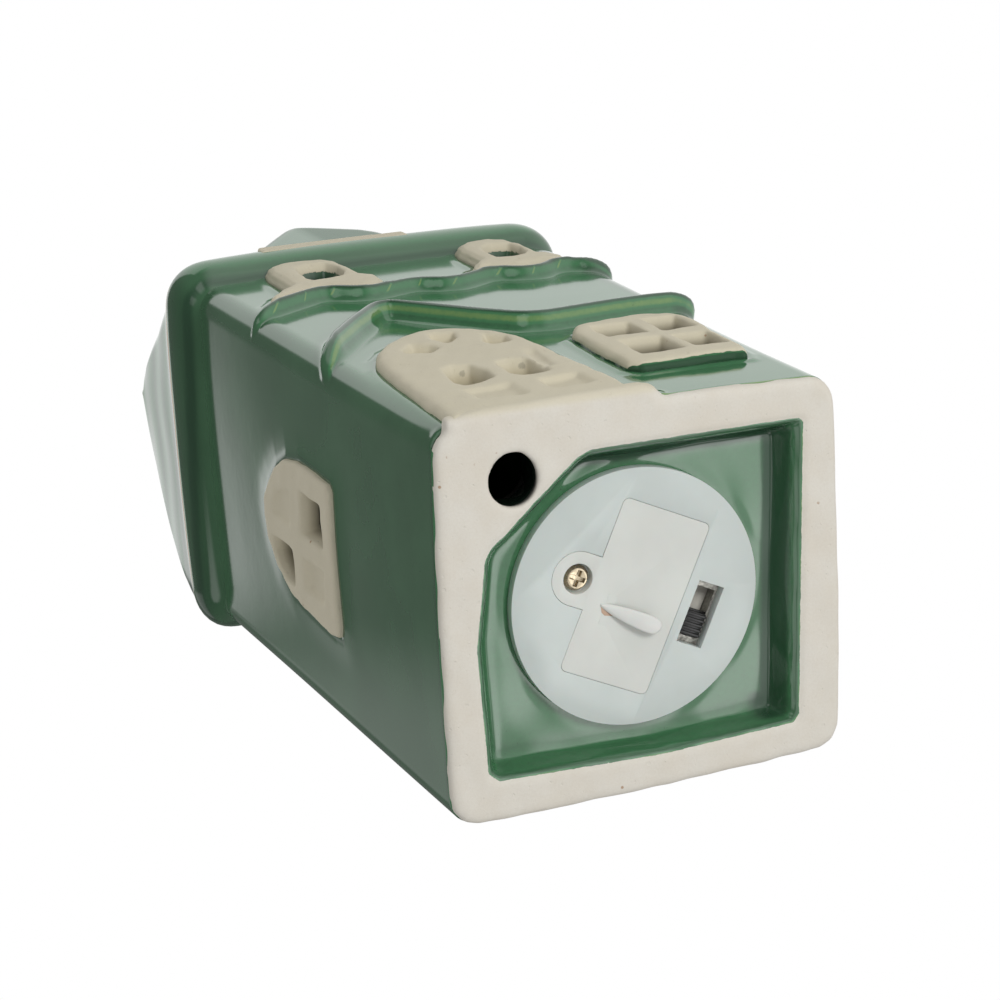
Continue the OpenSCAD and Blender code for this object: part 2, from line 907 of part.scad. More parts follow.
module circuit_board() {
    hole_d = 0.9;
    color(board_green)
        in_unit()
            difference() {
                translate([(board_x0 + board_x1) / 2, 0, board_z])
                    linear_extrude(board_t)
                        rounded(board_x1 - board_x0, board_w, board_r);
                for (sy = [-1, 1]) {
                    translate([board_screw_x, sy * board_screw_y, board_z - over])
                        cylinder(board_t + 2 * over, board_pilot_r, board_pilot_r);
                    translate([leaf_x - leaf_tail_t / 2, sy * cell_y, board_z])
                        cube([3 * leaf_tail_t, leaf_tail_w + 2 * leaf_tail_t, 3 * board_t], center = true);
                    translate([sy * leg_pitch / 2, 0, board_z - over])
                        cylinder(board_t + 2 * over, hole_d / 2, hole_d / 2);
                    translate([resistor_x, resistor_y + sy * (resistor_l / 2 + wire_d), board_z - over])
                        cylinder(board_t + 2 * over, hole_d / 2, hole_d / 2);
                }
                for (i = [-1:1])
                    translate([slot_x, switch_y + i * pin_pitch, board_z - over])
                        cylinder(board_t + 2 * over, hole_d / 2, hole_d / 2);
            }
}

module board_screws() {
    color(nickel)
        in_unit()
            for (sy = [-1, 1])
                translate([board_screw_x, sy * board_screw_y, board_z + board_t]) {
                    translate([0, 0, -board_screw_l])
                        cylinder(board_screw_l, board_screw_d / 2, board_screw_d / 2);
                    cylinder(board_head_h, board_head_d / 2, board_head_d / 2 - board_head_h / 3);
                }
}

module resistor() {
    leg_drop = 1.6;
    lift = board_z + board_t + resistor_d / 2;
    color(resistor_tan)
        in_unit()
            translate([resistor_x, resistor_y, lift]) {
                rotate([90, 0, 0])
                    translate([0, 0, -resistor_l / 2])
                        cylinder(resistor_l, resistor_d / 2, resistor_d / 2);
                for (sy = [-1, 1]) {
                    rotate([90, 0, 0])
                        translate([0, 0, sy * resistor_l / 2 - wire_d])
                            cylinder(2 * wire_d, wire_d / 2, wire_d / 2);
                    translate([0, sy * (resistor_l / 2 + wire_d), -resistor_d / 2 - leg_drop])
                        cylinder(resistor_d / 2 + leg_drop + wire_d / 2, wire_d / 2, wire_d / 2);
                }
            }
}

module led() {
    dome = led_d / 2;
    color(led_cream)
        in_unit()
            translate([0, 0, board_z + board_t + led_lift]) {
                cylinder(led_rim_h, led_d / 2 + led_rim, led_d / 2 + led_rim);
                cylinder(led_h - dome, led_d / 2, led_d / 2);
                translate([0, 0, led_h - dome])
                    sphere(dome);
            }
}

module led_legs() {
    stub = 0.9;
    color(nickel)
        in_unit()
            for (sx = [-1, 1])
                translate([sx * leg_pitch / 2, 0, board_z - stub])
                    translate([-leg_w / 2, -leg_w / 2, 0])
                        cube([leg_w, leg_w, stub + board_t + led_lift]);
}

// The switch sits on the inner face of the flange, over its slot
module in_switch() {
    in_unit()
        translate([slot_x, switch_y, switch_z])
            children();
}

module switch_case() {
    window_l = knob_l + switch_travel + 2 * knob_gap;
    color(nickel)
        in_switch()
            difference() {
                linear_extrude(switch_case_h)
                    rounded(switch_w, switch_l, case_t);
                translate([0, 0, case_t])
                    linear_extrude(switch_case_h)
                        rounded(switch_w - 2 * case_t, switch_l - 2 * case_t, case_t / 2);
                cube([knob_w + 2 * knob_gap, window_l, 4 * case_t], center = true);
            }
}

module switch_base() {
    inset = 2 * case_t + knob_gap;
    color(switch_brown)
        in_switch()
            difference() {
                translate([0, 0, switch_case_h - switch_base_t])
                    linear_extrude(switch_base_t)
                        rounded(switch_w - inset, switch_l - inset, case_t / 2);
                for (i = [-1:1])
                    translate([0, i * pin_pitch, switch_case_h])
                        cube([pin_w + knob_gap, pin_t + knob_gap, 3 * switch_base_t], center = true);
            }
}

module switch_pins() {
    top = board_z + board_t + tail_over - switch_z;
    foot = switch_case_h - switch_base_t;
    color(nickel)
        in_switch()
            for (i = [-1:1])
                translate([-pin_w / 2, i * pin_pitch - pin_t / 2, foot])
                    cube([pin_w, pin_t, top - foot]);
}

// The sliding parts are drawn at the photographed end of the travel
module in_slider() {
    in_switch()
        translate([0, switch_travel / 2, 0])
            children();
}

module switch_slider() {
    plate_w = switch_w - 2 * case_t - 2 * knob_gap;
    plate_z = case_t + knob_gap;
    rib_z = knob_sink + rib_h - switch_z;
    color(black_plastic)
        in_slider() {
            translate([-plate_w / 2, -knob_plate_l / 2, plate_z])
                cube([plate_w, knob_plate_l, knob_plate_t]);
            translate([-knob_w / 2, -knob_l / 2, rib_z])
                cube([knob_w, knob_l, plate_z - rib_z]);
            for (i = [0:rib_count - 1])
                translate([0, (i + 0.5 - rib_count / 2) * knob_l / rib_count, rib_z])
                    cube([knob_w, knob_l / rib_count / 2, 2 * rib_h], center = true);
        }
}

module switch_wiper() {
    color(brass)
        in_slider()
            translate([0, 0, case_t + knob_gap + knob_plate_t]) {
                translate([-wiper_w / 2, -pin_pitch / 2, 0])
                    cube([wiper_w, pin_pitch, wiper_t]);
                for (sy = [-1, 1])
                    translate([0, sy * pin_pitch / 2, wiper_h / 2])
                        cube([wiper_w, wiper_t, wiper_h], center = true);
            }
}

house_shell();
light_base();
light_cap();
battery_cover();
cover_screw();
pull_tab();
cell_front();
cell_back();
contact_bridge();
contact_positive();
contact_negative();
circuit_board();
board_screws();
resistor();
led();
led_legs();
switch_case();
switch_base();
switch_pins();
switch_wiper();
switch_slider();
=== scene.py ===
import json
from math import cos, pi, radians, sin, sqrt

import bmesh
import bpy
import numpy as np
from mathutils import Matrix, Vector


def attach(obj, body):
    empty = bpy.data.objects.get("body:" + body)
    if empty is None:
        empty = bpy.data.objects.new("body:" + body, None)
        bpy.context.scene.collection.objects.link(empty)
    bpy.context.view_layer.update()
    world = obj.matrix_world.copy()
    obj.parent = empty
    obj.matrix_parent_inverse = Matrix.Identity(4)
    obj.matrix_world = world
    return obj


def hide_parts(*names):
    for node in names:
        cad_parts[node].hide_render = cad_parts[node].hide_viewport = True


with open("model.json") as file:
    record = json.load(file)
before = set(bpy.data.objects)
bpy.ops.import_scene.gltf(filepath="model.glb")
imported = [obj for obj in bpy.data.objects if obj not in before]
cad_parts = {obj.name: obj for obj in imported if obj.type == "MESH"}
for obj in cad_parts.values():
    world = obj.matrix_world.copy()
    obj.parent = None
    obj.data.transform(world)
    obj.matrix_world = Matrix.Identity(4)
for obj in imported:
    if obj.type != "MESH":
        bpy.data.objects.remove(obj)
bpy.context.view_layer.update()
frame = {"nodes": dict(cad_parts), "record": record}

# Lengths below are in millimetres; a piece is scaled to metres when it is finished.
MM = 0.001

# Walls: half sizes at the foot, how they lean, swell and bow, and how far their ledges stand out
HALF_W = 30.5
HALF_D = 28.0
BACK_D = 29.0
LEAN = 1.0
RIGHT_SWELL = 1.7
BACK_SKEW = 0.8
BOW = 0.35
WALL_H = 109.0
WALL_T = 4.0
CORNER_R = 4.0
HOOD_OUT = 2.9
WAVE_OUT = 2.1
RIDGE_Z = 141.9

# Foot, recess and light unit
FLOOR_TOP = 9.0
RECESS_Z = 5.6
SEAT = (0.0, 1.3)
SEAT_R = 17.5
UNIT_Z = 3.8
UNIT_TURN = 25.0
DISC_ROOM_R = 19.2
DISC_ROOM_Z = 5.46
VENT = (-19.1, -19.6)
VENT_R = 3.4
VENT_ROOM = 6.2

# How far each bare clay frame stands out of its wall
DOOR_OUT = 1.8
SQUARE_OUT = 1.8
UPPER_OUT = 2.3
SIDE_OUT = 1.15

# Sine waves in a ripple, and the share of the way to its neighbours' middle that relax moves a point
RIPPLE_WAVES = 7
RELAX_PULL = 0.6

# The bottom of a pressed pane is this share of its size at the face
PANE_TAPER = 0.70

# Outlines in the plane of their wall: across, up
DOOR = [(-27.8, 0.4), (-27.4, 8), (-26.8, 20), (-26.2, 30), (-25.2, 37.6), (-23.4, 42.8), (-20.6, 47.0),
        (-17.2, 50.0), (-13.4, 51.6), (-9.4, 51.2), (-5.8, 48.9), (-3.0, 44.9), (-1.5, 40.1),
        (-0.8, 34), (-0.3, 26), (-0.1, 16), (0.4, 0.4)]
SQUARE_WINDOW = [(6.9, 14.2), (21.6, 14.9), (23.9, 14.6), (24.8, 17.0), (26.1, 38.5), (26.0, 42.2),
                 (24.6, 43.9), (20.0, 44.6), (10.5, 42.8), (7.6, 41.4), (6.1, 38.5), (5.4, 24.0),
                 (5.3, 16.2)]
SIDE_WINDOW = [(-10.2, 43.9), (-9.2, 42.8), (-4.0, 42.9), (4.0, 42.5), (11.8, 42.0), (13.6, 42.6),
               (13.9, 46.0), (13.3, 57.7), (12.5, 64.6), (9.6, 70.2), (5.9, 73.8), (1.8, 75.5),
               (-1.2, 75.0), (-3.6, 73.1), (-6.9, 69.2), (-9.3, 64.3), (-10.4, 58.6), (-10.4, 50.0)]


def smoothstep(low, high, value):
    t = np.clip((value - low) / (high - low), 0, 1)
    return t * t * (3 - 2 * t)


def hump(value, middle, width):
    """1 at the middle, falling away to both sides over about twice the width."""
    return np.exp(-((value - middle) / width) ** 2)


def ripple(points, size, seed):
    """Soft irregularity from a few sine waves, about -1 to 1."""
    rng = np.random.default_rng(seed)
    total = np.zeros(len(points))
    for _ in range(RIPPLE_WAVES):
        way = rng.normal(size=3)
        way *= 2 * pi / (size * rng.uniform(0.7, 1.5) * np.linalg.norm(way))
        total += np.sin(points @ way + rng.uniform(0, 2 * pi))
    return total / sqrt(RIPPLE_WAVES)


def distance_to(outline, px, py):
    """Signed distance to a closed outline, negative inside."""
    a = np.array(outline, float)
    b = np.roll(a, -1, axis=0)
    best = np.full(px.shape, 1e9)
    inside = np.zeros(px.shape, bool)
    for (ax, ay), (bx, by) in zip(a, b):
        ex, ey = bx - ax, by - ay
        t = np.clip(((px - ax) * ex + (py - ay) * ey) / (ex * ex + ey * ey), 0, 1)
        best = np.minimum(best, np.hypot(px - ax - t * ex, py - ay - t * ey))
        if ay != by:
            crosses = ((ay > py) != (by > py)) & (px < (bx - ax) * (py - ay) / (by - ay) + ax)
            inside ^= crosses
    return np.where(inside, -best, best)


def verts_of(mesh):
    co = np.empty(len(mesh.vertices) * 3)
    mesh.vertices.foreach_get("co", co)
    return co.reshape(-1, 3)


def normals_of(mesh):
    no = np.empty(len(mesh.vertices) * 3)
    mesh.vertices.foreach_get("normal", no)
    return no.reshape(-1, 3)


def place_verts(mesh, co):
    mesh.vertices.foreach_set("co", np.ascontiguousarray(co, float).ravel())
    mesh.update()


def store(mesh, **layers):
    """Keeps named layers on a mesh for its material: one value at each point, or one for all."""
    for name, values in layers.items():
        layer = mesh.attributes.get(name) or mesh.attributes.new(name, "FLOAT", "POINT")
        spread = np.broadcast_to(values, len(mesh.vertices))
        layer.data.foreach_set("value", np.ascontiguousarray(spread, np.float32))


def relax(mesh, rounds, back):
    """Smooths a closed mesh; back is the share of each step taken back, so that it doesn't shrink."""
    edges = np.empty(len(mesh.edges) * 2, np.int64)
    mesh.edges.foreach_get("vertices", edges)
    a, b = edges[0::2], edges[1::2]
    count = len(mesh.vertices)
    near = np.bincount(a, minlength=count) + np.bincount(b, minlength=count)
    co = verts_of(mesh)
    for step in range(rounds * 2):
        pull = RELAX_PULL if step % 2 == 0 else -RELAX_PULL * back
        for k in range(3):
            total = np.bincount(a, co[b, k], count) + np.bincount(b, co[a, k], count)
            co[:, k] += pull * (total / near - co[:, k])
    place_verts(mesh, co)


def linked(name, data):
    obj = bpy.data.objects.new(name, data)
    bpy.context.scene.collection.objects.link(obj)
    return obj


def as_object(name, bm):
    mesh = bpy.data.meshes.new(name)
    bm.to_mesh(mesh)
    bm.free()
    return linked(name, mesh)


def baked(obj):
    """Turns an object's live modifiers into its mesh."""
    bpy.context.view_layer.update()
    seen = obj.evaluated_get(bpy.context.evaluated_depsgraph_get())
    mesh = bpy.data.meshes.new_from_object(seen)
    obj.modifiers.clear()
    obj.data = mesh
    return obj


def remeshed(obj, voxel):
    change = obj.modifiers.new("clay", "REMESH")
    change.mode = "VOXEL"
    change.voxel_size = voxel
    return baked(obj)


def cut(obj, cutters, operation="DIFFERENCE"):
    for cutter in cutters:
        change = obj.modifiers.new("cut", "BOOLEAN")
        change.operation = operation
        change.solver = "MANIFOLD"
        change.object = cutter
    baked(obj)
    for cutter in cutters:
        bpy.data.objects.remove(cutter)
    return obj


def finished(obj, material, body, node, angle):
    """Scales a piece to metres and says what it is; edges sharper than the angle stay crisp."""
    mesh = obj.data
    mesh.transform(Matrix.Scale(MM, 4))
    mesh.polygons.foreach_set("use_smooth", [True] * len(mesh.polygons))
    if angle < 180:
        mesh.set_sharp_from_angle(angle=radians(angle))
    mesh.materials.clear()
    mesh.materials.append(material)
    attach(obj, body)
    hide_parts(node)


def house_piece(obj, material, angle=180):
    finished(obj, material, "house", "house_shell", angle)


def prism(name, outline, low, high, grow=1.0):
    """A closed outline in X and Y, from z low to z high; grow scales its upper end about its middle."""
    bm = bmesh.new()
    face = bm.faces.new([bm.verts.new((x, y, low)) for x, y in outline])
    made = bmesh.ops.extrude_face_region(bm, geom=[face])
    top = [v for v in made["geom"] if isinstance(v, bmesh.types.BMVert)]
    middle = Vector(np.mean(np.array(outline), axis=0).tolist() + [0])
    for v in top:
        v.co = middle + (v.co - middle) * grow
        v.co.z = high
    bmesh.ops.recalc_face_normals(bm, faces=bm.faces)
    return as_object(name, bm)


def rod(name, x, y, radius, low, high):
    bm = bmesh.new()
    sizes = {"radius1": radius, "radius2": radius, "depth": high - low}
    bmesh.ops.create_cone(bm, cap_ends=True, segments=96, **sizes)
    bmesh.ops.translate(bm, vec=(x, y, (low + high) / 2), verts=bm.verts)
    return as_object(name, bm)


def block(name, low, high):
    bm = bmesh.new()
    bmesh.ops.create_cube(bm, size=1)
    size = [b - a for a, b in zip(low, high)]
    bmesh.ops.scale(bm, vec=size, verts=bm.verts)
    bmesh.ops.translate(bm, vec=[(a + b) / 2 for a, b in zip(low, high)], verts=bm.verts)
    return as_object(name, bm)


# Materials


def add(tree, kind, inputs=None, **settings):
    made = tree.nodes.new(kind)
    for key, value in settings.items():
        setattr(made, key, value)
    for key, value in (inputs or {}).items():
        if isinstance(value, bpy.types.NodeSocket):
            tree.links.new(value, made.inputs[key])
        else:
            made.inputs[key].default_value = value
    return made


def new_material(name):
    material = bpy.data.materials.new(name)
    material.use_nodes = True
    tree = material.node_tree
    tree.nodes.clear()
    out = add(tree, "ShaderNodeOutputMaterial")
    place = add(tree, "ShaderNodeTexCoord").outputs["Object"]
    return material, tree, out, place


def rgba(red, green, blue):
    return (red, green, blue, 1)


def noise(tree, place, size_mm, detail, rough):
    inputs = {"Vector": place, "Scale": 1 / (size_mm * MM), "Detail": detail, "Roughness": rough}
    return add(tree, "ShaderNodeTexNoise", inputs).outputs["Fac"]


def value_of(tree, name):
    return add(tree, "ShaderNodeAttribute", attribute_name=name).outputs["Fac"]


def ramp(tree, value, low, high, first=0.0, last=1.0):
    inputs = {"Value": value, "From Min": low, "From Max": high, "To Min": first, "To Max": last}
    made = add(tree, "ShaderNodeMapRange", inputs, interpolation_type="SMOOTHSTEP")
    return made.outputs["Result"]


def blend(tree, amount, first, second):
    # Sockets 0, 6 and 7 are the colour mix's own factor, A and B
    return add(tree, "ShaderNodeMix", {0: amount, 6: first, 7: second}, data_type="RGBA").outputs[2]


def maths(tree, operation, *values):
    return add(tree, "ShaderNodeMath", dict(enumerate(values)), operation=operation).outputs[0]


def times(tree, first, second):
    return maths(tree, "MULTIPLY", first, second)


def plus(tree, first, second):
    return maths(tree, "ADD", first, second)


def larger(tree, first, second):
    return maths(tree, "MAXIMUM", first, second)


def bump(tree, height, strength, depth_mm, normal=None):
    made = add(tree, "ShaderNodeBump", {"Height": height, "Strength": strength, "Distance": depth_mm * MM})
    if normal:
        tree.links.new(normal, made.inputs["Normal"])
    return made.outputs["Normal"]


GLAZE_MID = rgba(0.050, 0.128, 0.064)
GLAZE_POOL_AND_SHADE = rgba(0.020, 0.060, 0.031)
GLAZE_LIGHT = rgba(0.062, 0.205, 0.090)
GLAZE_THIN = rgba(0.190, 0.310, 0.105)
GLAZE_BREAK = rgba(0.400, 0.235, 0.125)
CLAY = rgba(0.73, 0.70, 0.63)


def ledge_stripes_and_highlight(tree):
    """Pale lines along both ledges, partly thin glaze and partly a painted highlight, with ticks across the
    upper one.
    """
    hood_gap = maths(tree, "ABSOLUTE", plus(tree, value_of(tree, "over_hood"), 1.15))
    wave_gap = maths(tree, "ABSOLUTE", plus(tree, value_of(tree, "over_wave"), 0.9))
    # The hood's line is partly a painted highlight along its lower flank
    hood = ramp(tree, hood_gap, 0.75, 0.05, 0, 0.58)
    wave = ramp(tree, wave_gap, 0.7, 0.05, 0, 0.3)
    across = maths(tree, "PINGPONG", value_of(tree, "along_wave"), 3.3)
    ticks = times(tree, ramp(tree, across, 0.42, 0.1, 0, 0.6), ramp(tree, wave_gap, 0.7, 0.2))
    return times(tree, larger(tree, larger(tree, hood, wave), ticks), value_of(tree, "ledge"))


def glaze_shader(tree, place):
    """Green glaze: darker where it pools and where shade is painted, yellow-green where it is thin and
    where a highlight is painted along the ledges, and broken to rust at its edge.
    """
    pool = value_of(tree, "pool")
    thin = value_of(tree, "thin")
    cloud = noise(tree, place, 16, 4, 0.55)
    grain = noise(tree, place, 0.9, 4, 0.6)
    colour = blend(tree, ramp(tree, cloud, 0.35, 0.7), GLAZE_MID, rgba(0.060, 0.150, 0.076))
    # Darker where the glaze pools, and painted shade under the ledges, in the eave's crease, on the dormer
    # and in the vent
    colour = blend(tree, ramp(tree, pool, 0.05, 1.0, 0, 0.85), colour, GLAZE_POOL_AND_SHADE)
    worn = plus(tree, thin, times(tree, maths(tree, "SUBTRACT", grain, 0.5), 0.22))
    worn = plus(tree, worn, ledge_stripes_and_highlight(tree))
    colour = blend(tree, ramp(tree, worn, 0.05, 0.5, 0, 0.95), colour, GLAZE_LIGHT)
    colour = blend(tree, ramp(tree, worn, 0.5, 0.85, 0, 0.9), colour, GLAZE_THIN)
    broken = ramp(tree, worn, 0.92, 1.02)
    colour = blend(tree, broken, colour, GLAZE_BREAK)
    speck = ramp(tree, noise(tree, place, 0.55, 2, 0.5), 0.73, 0.78, 0, 0.5)
    colour = blend(tree, speck, colour, rgba(0.020, 0.045, 0.025))
    # Painted shade: the shade layer darkens the glaze towards black in tunnels, the door's dark spots, the
    # vent and on the dormer; it also darkens the streaks on the gables
    shade = value_of(tree, "shade")
    colour = blend(tree, shade, colour, rgba(0.006, 0.012, 0.008))
    dull = larger(tree, shade, value_of(tree, "quiet"))
    dull = larger(tree, dull, times(tree, broken, 0.85))
    normal = bump(tree, noise(tree, place, 9, 2, 0.4), 0.3, 0.03)
    normal = bump(tree, noise(tree, place, 1.3, 2, 0.5), 0.3, 0.006, normal)
    gloss = ramp(tree, dull, 0.0, 1.0, 0.62, 0.05)
    inputs = {"Base Color": colour, "Roughness": 0.09, "IOR": 1.52, "Specular IOR Level": gloss,
              "Normal": normal}
    return add(tree, "ShaderNodeBsdfPrincipled", inputs)


def clay_shader(tree, place):
    """Bare fired clay: matt, chalky, with fine tooling, pinholes and iron specks, and painted shade in its
    pressed panes, its tunnels and the vent.
    """
    dip = value_of(tree, "dip")
    warm = value_of(tree, "warm")
    cloud = noise(tree, place, 9, 4, 0.6)
    grain = noise(tree, place, 0.35, 5, 0.7)
    colour = blend(tree, ramp(tree, cloud, 0.3, 0.75), CLAY, rgba(0.70, 0.655, 0.57))
    colour = blend(tree, warm, colour, rgba(0.66, 0.61, 0.465))
    colour = blend(tree, ramp(tree, grain, 0.35, 0.75, 0, 0.2), colour, rgba(0.56, 0.50, 0.40))
    # Painted shade deep in the pressed panes
    colour = blend(tree, ramp(tree, dip, 0.0, 1.0, 0, 0.75), colour, rgba(0.42, 0.36, 0.23))
    rust = add(tree, "ShaderNodeTexVoronoi", {"Vector": place, "Scale": 330.0, "Randomness": 1.0})
    rare = noise(tree, place, 3.5, 1, 0.4)
    spot = times(tree, ramp(tree, rust.outputs["Distance"], 0.10, 0.05), ramp(tree, rare, 0.60, 0.66))
    colour = blend(tree, times(tree, spot, 0.75), colour, rgba(0.33, 0.17, 0.07))
    colour = blend(tree, value_of(tree, "shade"), colour, rgba(0.012, 0.014, 0.010))
    normal = bump(tree, noise(tree, place, 2.2, 4, 0.6), 0.6, 0.10)
    normal = bump(tree, grain, 0.5, 0.03, normal)
    normal = bump(tree, ramp(tree, noise(tree, place, 0.8, 1, 0.3), 0.70, 0.80), 0.8, -0.06, normal)
    inputs = {"Base Color": colour, "Roughness": 0.72, "Normal": normal}
    return add(tree, "ShaderNodeBsdfPrincipled", inputs)


def glaze_material():
    material, tree, out, place = new_material("green_glaze")
    tree.links.new(glaze_shader(tree, place).outputs[0], out.inputs[0])
    return material


def foot_material():
    """Bare clay with glaze wherever the distance to the glaze line says so."""
    material, tree, out, place = new_material("clay_and_glaze")
    wander = times(tree, maths(tree, "SUBTRACT", noise(tree, place, 1.4, 3, 0.6), 0.5), 0.35)
    line = plus(tree, value_of(tree, "glazed"), wander)
    mixed = add(tree, "ShaderNodeMixShader", {0: ramp(tree, line, -0.04, 0.04)})
    tree.links.new(clay_shader(tree, place).outputs[0], mixed.inputs[1])
    tree.links.new(glaze_shader(tree, place).outputs[0], mixed.inputs[2])
    tree.links.new(mixed.outputs[0], out.inputs[0])
    return material


def plastic_material(name, colour, rough, marks, glow=0.0):
    """Moulded plastic with a faint grain and slight clouding."""
    material, tree, out, place = new_material(name)
    cloud = noise(tree, place, 11, 3, 0.5)
    darker = rgba(*[c * 0.93 for c in colour[:3]])
    shade = blend(tree, ramp(tree, cloud, 0.35, 0.7), colour, darker)
    normal = bump(tree, noise(tree, place, 0.25, 3, 0.6), 0.25, 0.01)
    normal = bump(tree, noise(tree, place, 6, 2, 0.5), 0.3, marks * 0.06, normal)
    inputs = {"Base Color": shade, "Roughness": rough, "Normal": normal, "Subsurface Weight": glow,
              "Subsurface Scale": 0.8 * MM}
    tree.links.new(add(tree, "ShaderNodeBsdfPrincipled", inputs).outputs[0], out.inputs[0])
    return material


def metal_material(name, colour, rough):
    material, tree, out, place = new_material(name)
    stain = noise(tree, place, 1.3, 4, 0.6)
    shade = blend(tree, ramp(tree, stain, 0.35, 0.75), colour, rgba(*[c * 0.72 for c in colour[:3]]))
    rough_here = ramp(tree, noise(tree, place, 0.5, 3, 0.6), 0.3, 0.7, rough * 0.7, rough * 1.4)
    normal = bump(tree, noise(tree, place, 0.3, 3, 0.6), 0.3, 0.01)
    inputs = {"Base Color": shade, "Metallic": 1.0, "Roughness": rough_here, "Normal": normal}
    tree.links.new(add(tree, "ShaderNodeBsdfPrincipled", inputs).outputs[0], out.inputs[0])
    return material


green_glaze = glaze_material()
clay_and_glaze = foot_material()
milk_plastic = plastic_material("milk_plastic", rgba(0.575, 0.625, 0.600), 0.34, 0.5, 0.1)
cover_plastic = plastic_material("cover_plastic", rgba(0.650, 0.665, 0.625), 0.36, 0.9, 0.1)
cap_plastic = plastic_material("cap_plastic", rgba(0.80, 0.80, 0.78), 0.36, 0.5, 0.2)
# Painted shade: a rust-coloured film for the corner beside the pull tab's root
root_shade_film = plastic_material("root_shade_film", rgba(0.52, 0.36, 0.26), 0.5, 0.2)
film_plastic = plastic_material("film_plastic", rgba(0.70, 0.71, 0.68), 0.3, 0.2, 0.1)
black_plastic = plastic_material("black_plastic", rgba(0.009, 0.009, 0.009), 0.42, 0.5)
board_green = plastic_material("board_green", rgba(0.03, 0.16, 0.06), 0.3, 0.4)
resistor_tan = plastic_material("resistor_tan", rgba(0.50, 0.36, 0.18), 0.4, 0.3)
lens_cream = plastic_material("lens_cream", rgba(0.88, 0.80, 0.55), 0.12, 0.1, 0.3)
# Painted light: the switch base's colour is lightened to brighten its dark well
switch_brown = plastic_material("switch_brown", rgba(0.60, 0.58, 0.52), 0.5, 0.3)
nickel = metal_material("nickel", rgba(0.62, 0.54, 0.46), 0.26)
screw_nickel = metal_material("screw_nickel", rgba(0.46, 0.39, 0.28), 0.3)
dull_nickel = metal_material("dull_nickel", rgba(0.50, 0.49, 0.45), 0.7)
cell_steel = metal_material("cell_steel", rgba(0.62, 0.62, 0.62), 0.22)
spring_brass = metal_material("spring_brass", rgba(0.72, 0.52, 0.22), 0.3)


# House


def outline_table():
    """The house's plan: each point's place (u, v) on the straight parts and its outward normal (c, s)."""
    rows = []

    def side(start, end, normal, pieces):
        for k in range(pieces):
            t = k / pieces
            rows.append((start[0] + (end[0] - start[0]) * t, start[1] + (end[1] - start[1]) * t, *normal))

    def corner(at, first, pieces):
        for k in range(pieces):
            a = first + pi / 2 * k / pieces
            rows.append((*at, cos(a), sin(a)))

    corner((-1, -1), pi, 14)
    side((-1, -1), (1, -1), (0, -1), 124)
    corner((1, -1), -pi / 2, 12)
    side((1, -1), (1, 1), (1, 0), 44)
    corner((1, 1), 0, 8)
    side((1, 1), (-1, 1), (0, 1), 44)
    corner((-1, 1), pi / 2, 8)
    side((-1, 1), (-1, -1), (-1, 0), 100)
    return np.array(rows)


def half_width(z, right):
    """Half the width at height z; the right wall spreads more towards the eave than the left one."""
    swell = RIGHT_SWELL * smoothstep(15, 95, z) * smoothstep(110, 106, z)
    return HALF_W + LEAN * np.clip(z, 0, WALL_H) / WALL_H + right * swell


def half_depth(u, back):
    """Half the depth; the back edge runs a little askew."""
    return np.where(back, BACK_D - BACK_SKEW * u, HALF_D)


def wrapped_sheet(name, columns, rows):
    """A flat grid, with the place round the house and the row up it of each of its vertices."""
    bm = bmesh.new()
    bmesh.ops.create_grid(bm, x_segments=columns, y_segments=rows - 1, size=0.5)
    sheet = as_object(name, bm)
    co = verts_of(sheet.data)
    column = np.rint((co[:, 0] + 0.5) * columns).astype(int) % columns
    row = np.rint((co[:, 1] + 0.5) * (rows - 1)).astype(int)
    return sheet, column, row


def close_sheet(mesh, merge):
    """Joins a wrapped sheet along its seam and fills its two open ends."""
    bm = bmesh.new()
    bm.from_mesh(mesh)
    bmesh.ops.remove_doubles(bm, verts=bm.verts, dist=merge)
    bmesh.ops.holes_fill(bm, edges=[e for e in bm.edges if e.is_boundary], sides=0)
    bmesh.ops.recalc_face_normals(bm, faces=bm.faces)
    bm.to_mesh(mesh)
    bm.free()


def plan_points(table, z, out):
    """Places on the walls at height z, pushed outward by out."""
    u, v, c, s = table.T
    x = u * (half_width(z, u > 0) - CORNER_R) + c * (CORNER_R + out)
    y = v * (half_depth(u, v > 0) - CORNER_R) + s * (CORNER_R + out)
    bow = BOW * (1 - u * u) * (np.abs(s) > 0.99) + BOW * (1 - v * v) * (np.abs(c) > 0.99)
    return x + c * bow, y + s * bow


def rounded_line(x, places, heights, spread):
    """Height of a polyline with its corners rounded off."""
    offsets = (-1.5, -0.9, -0.3, 0.3, 0.9, 1.5)
    return np.mean([np.interp(x + k * spread, places, heights) for k in offsets], axis=0)


# The crests of the two ledges on the front wall, as places across it and heights
HOOD = ([-33, -31.4, -26.5, -20.5, -14.6, -12.6, -10.8, -8.0, -1.6, 3.0, 6.6, 11.2, 18.4, 25.1, 31],
        [42.5, 45.0, 53.0, 61.5, 69.0, 70.2, 69.4, 65.4, 55.8, 50.2, 48.9, 49.6, 50.8, 51.4, 51.0])
WAVE = ([-34, -32.2, -28, -23.5, -19, -15.8, -12.6, -10.2, -7, -4, -0.3, 2, 4.4, 7, 9.6, 13.6,
         15.6, 17.7, 19.6, 21.8, 24.9, 28, 30.3, 33],
        [78, 79.5, 82.4, 85.0, 87.6, 88.8, 86.6, 84.6, 85.2, 86.4, 87.0, 85.4, 83.8, 84.8, 86.4, 88.0,
         86.9, 85.4, 85.3, 86.2, 88.5, 87.8, 86.6, 84.0])


def hood_line(x):
    """Height of the lower ledge, which rises to a hood over the door."""
    return rounded_line(x, *HOOD, 0.8)


def wave_line(x):
    """Height of the wavy upper ledge."""
    return rounded_line(x, *WAVE, 1.2)


def steep(line, x):
    """How much a sloping ledge has to be narrowed so that it keeps its width."""
    slope = (line(x + 0.6) - line(x - 0.6)) / 1.2
    return np.sqrt(1 + slope * slope)


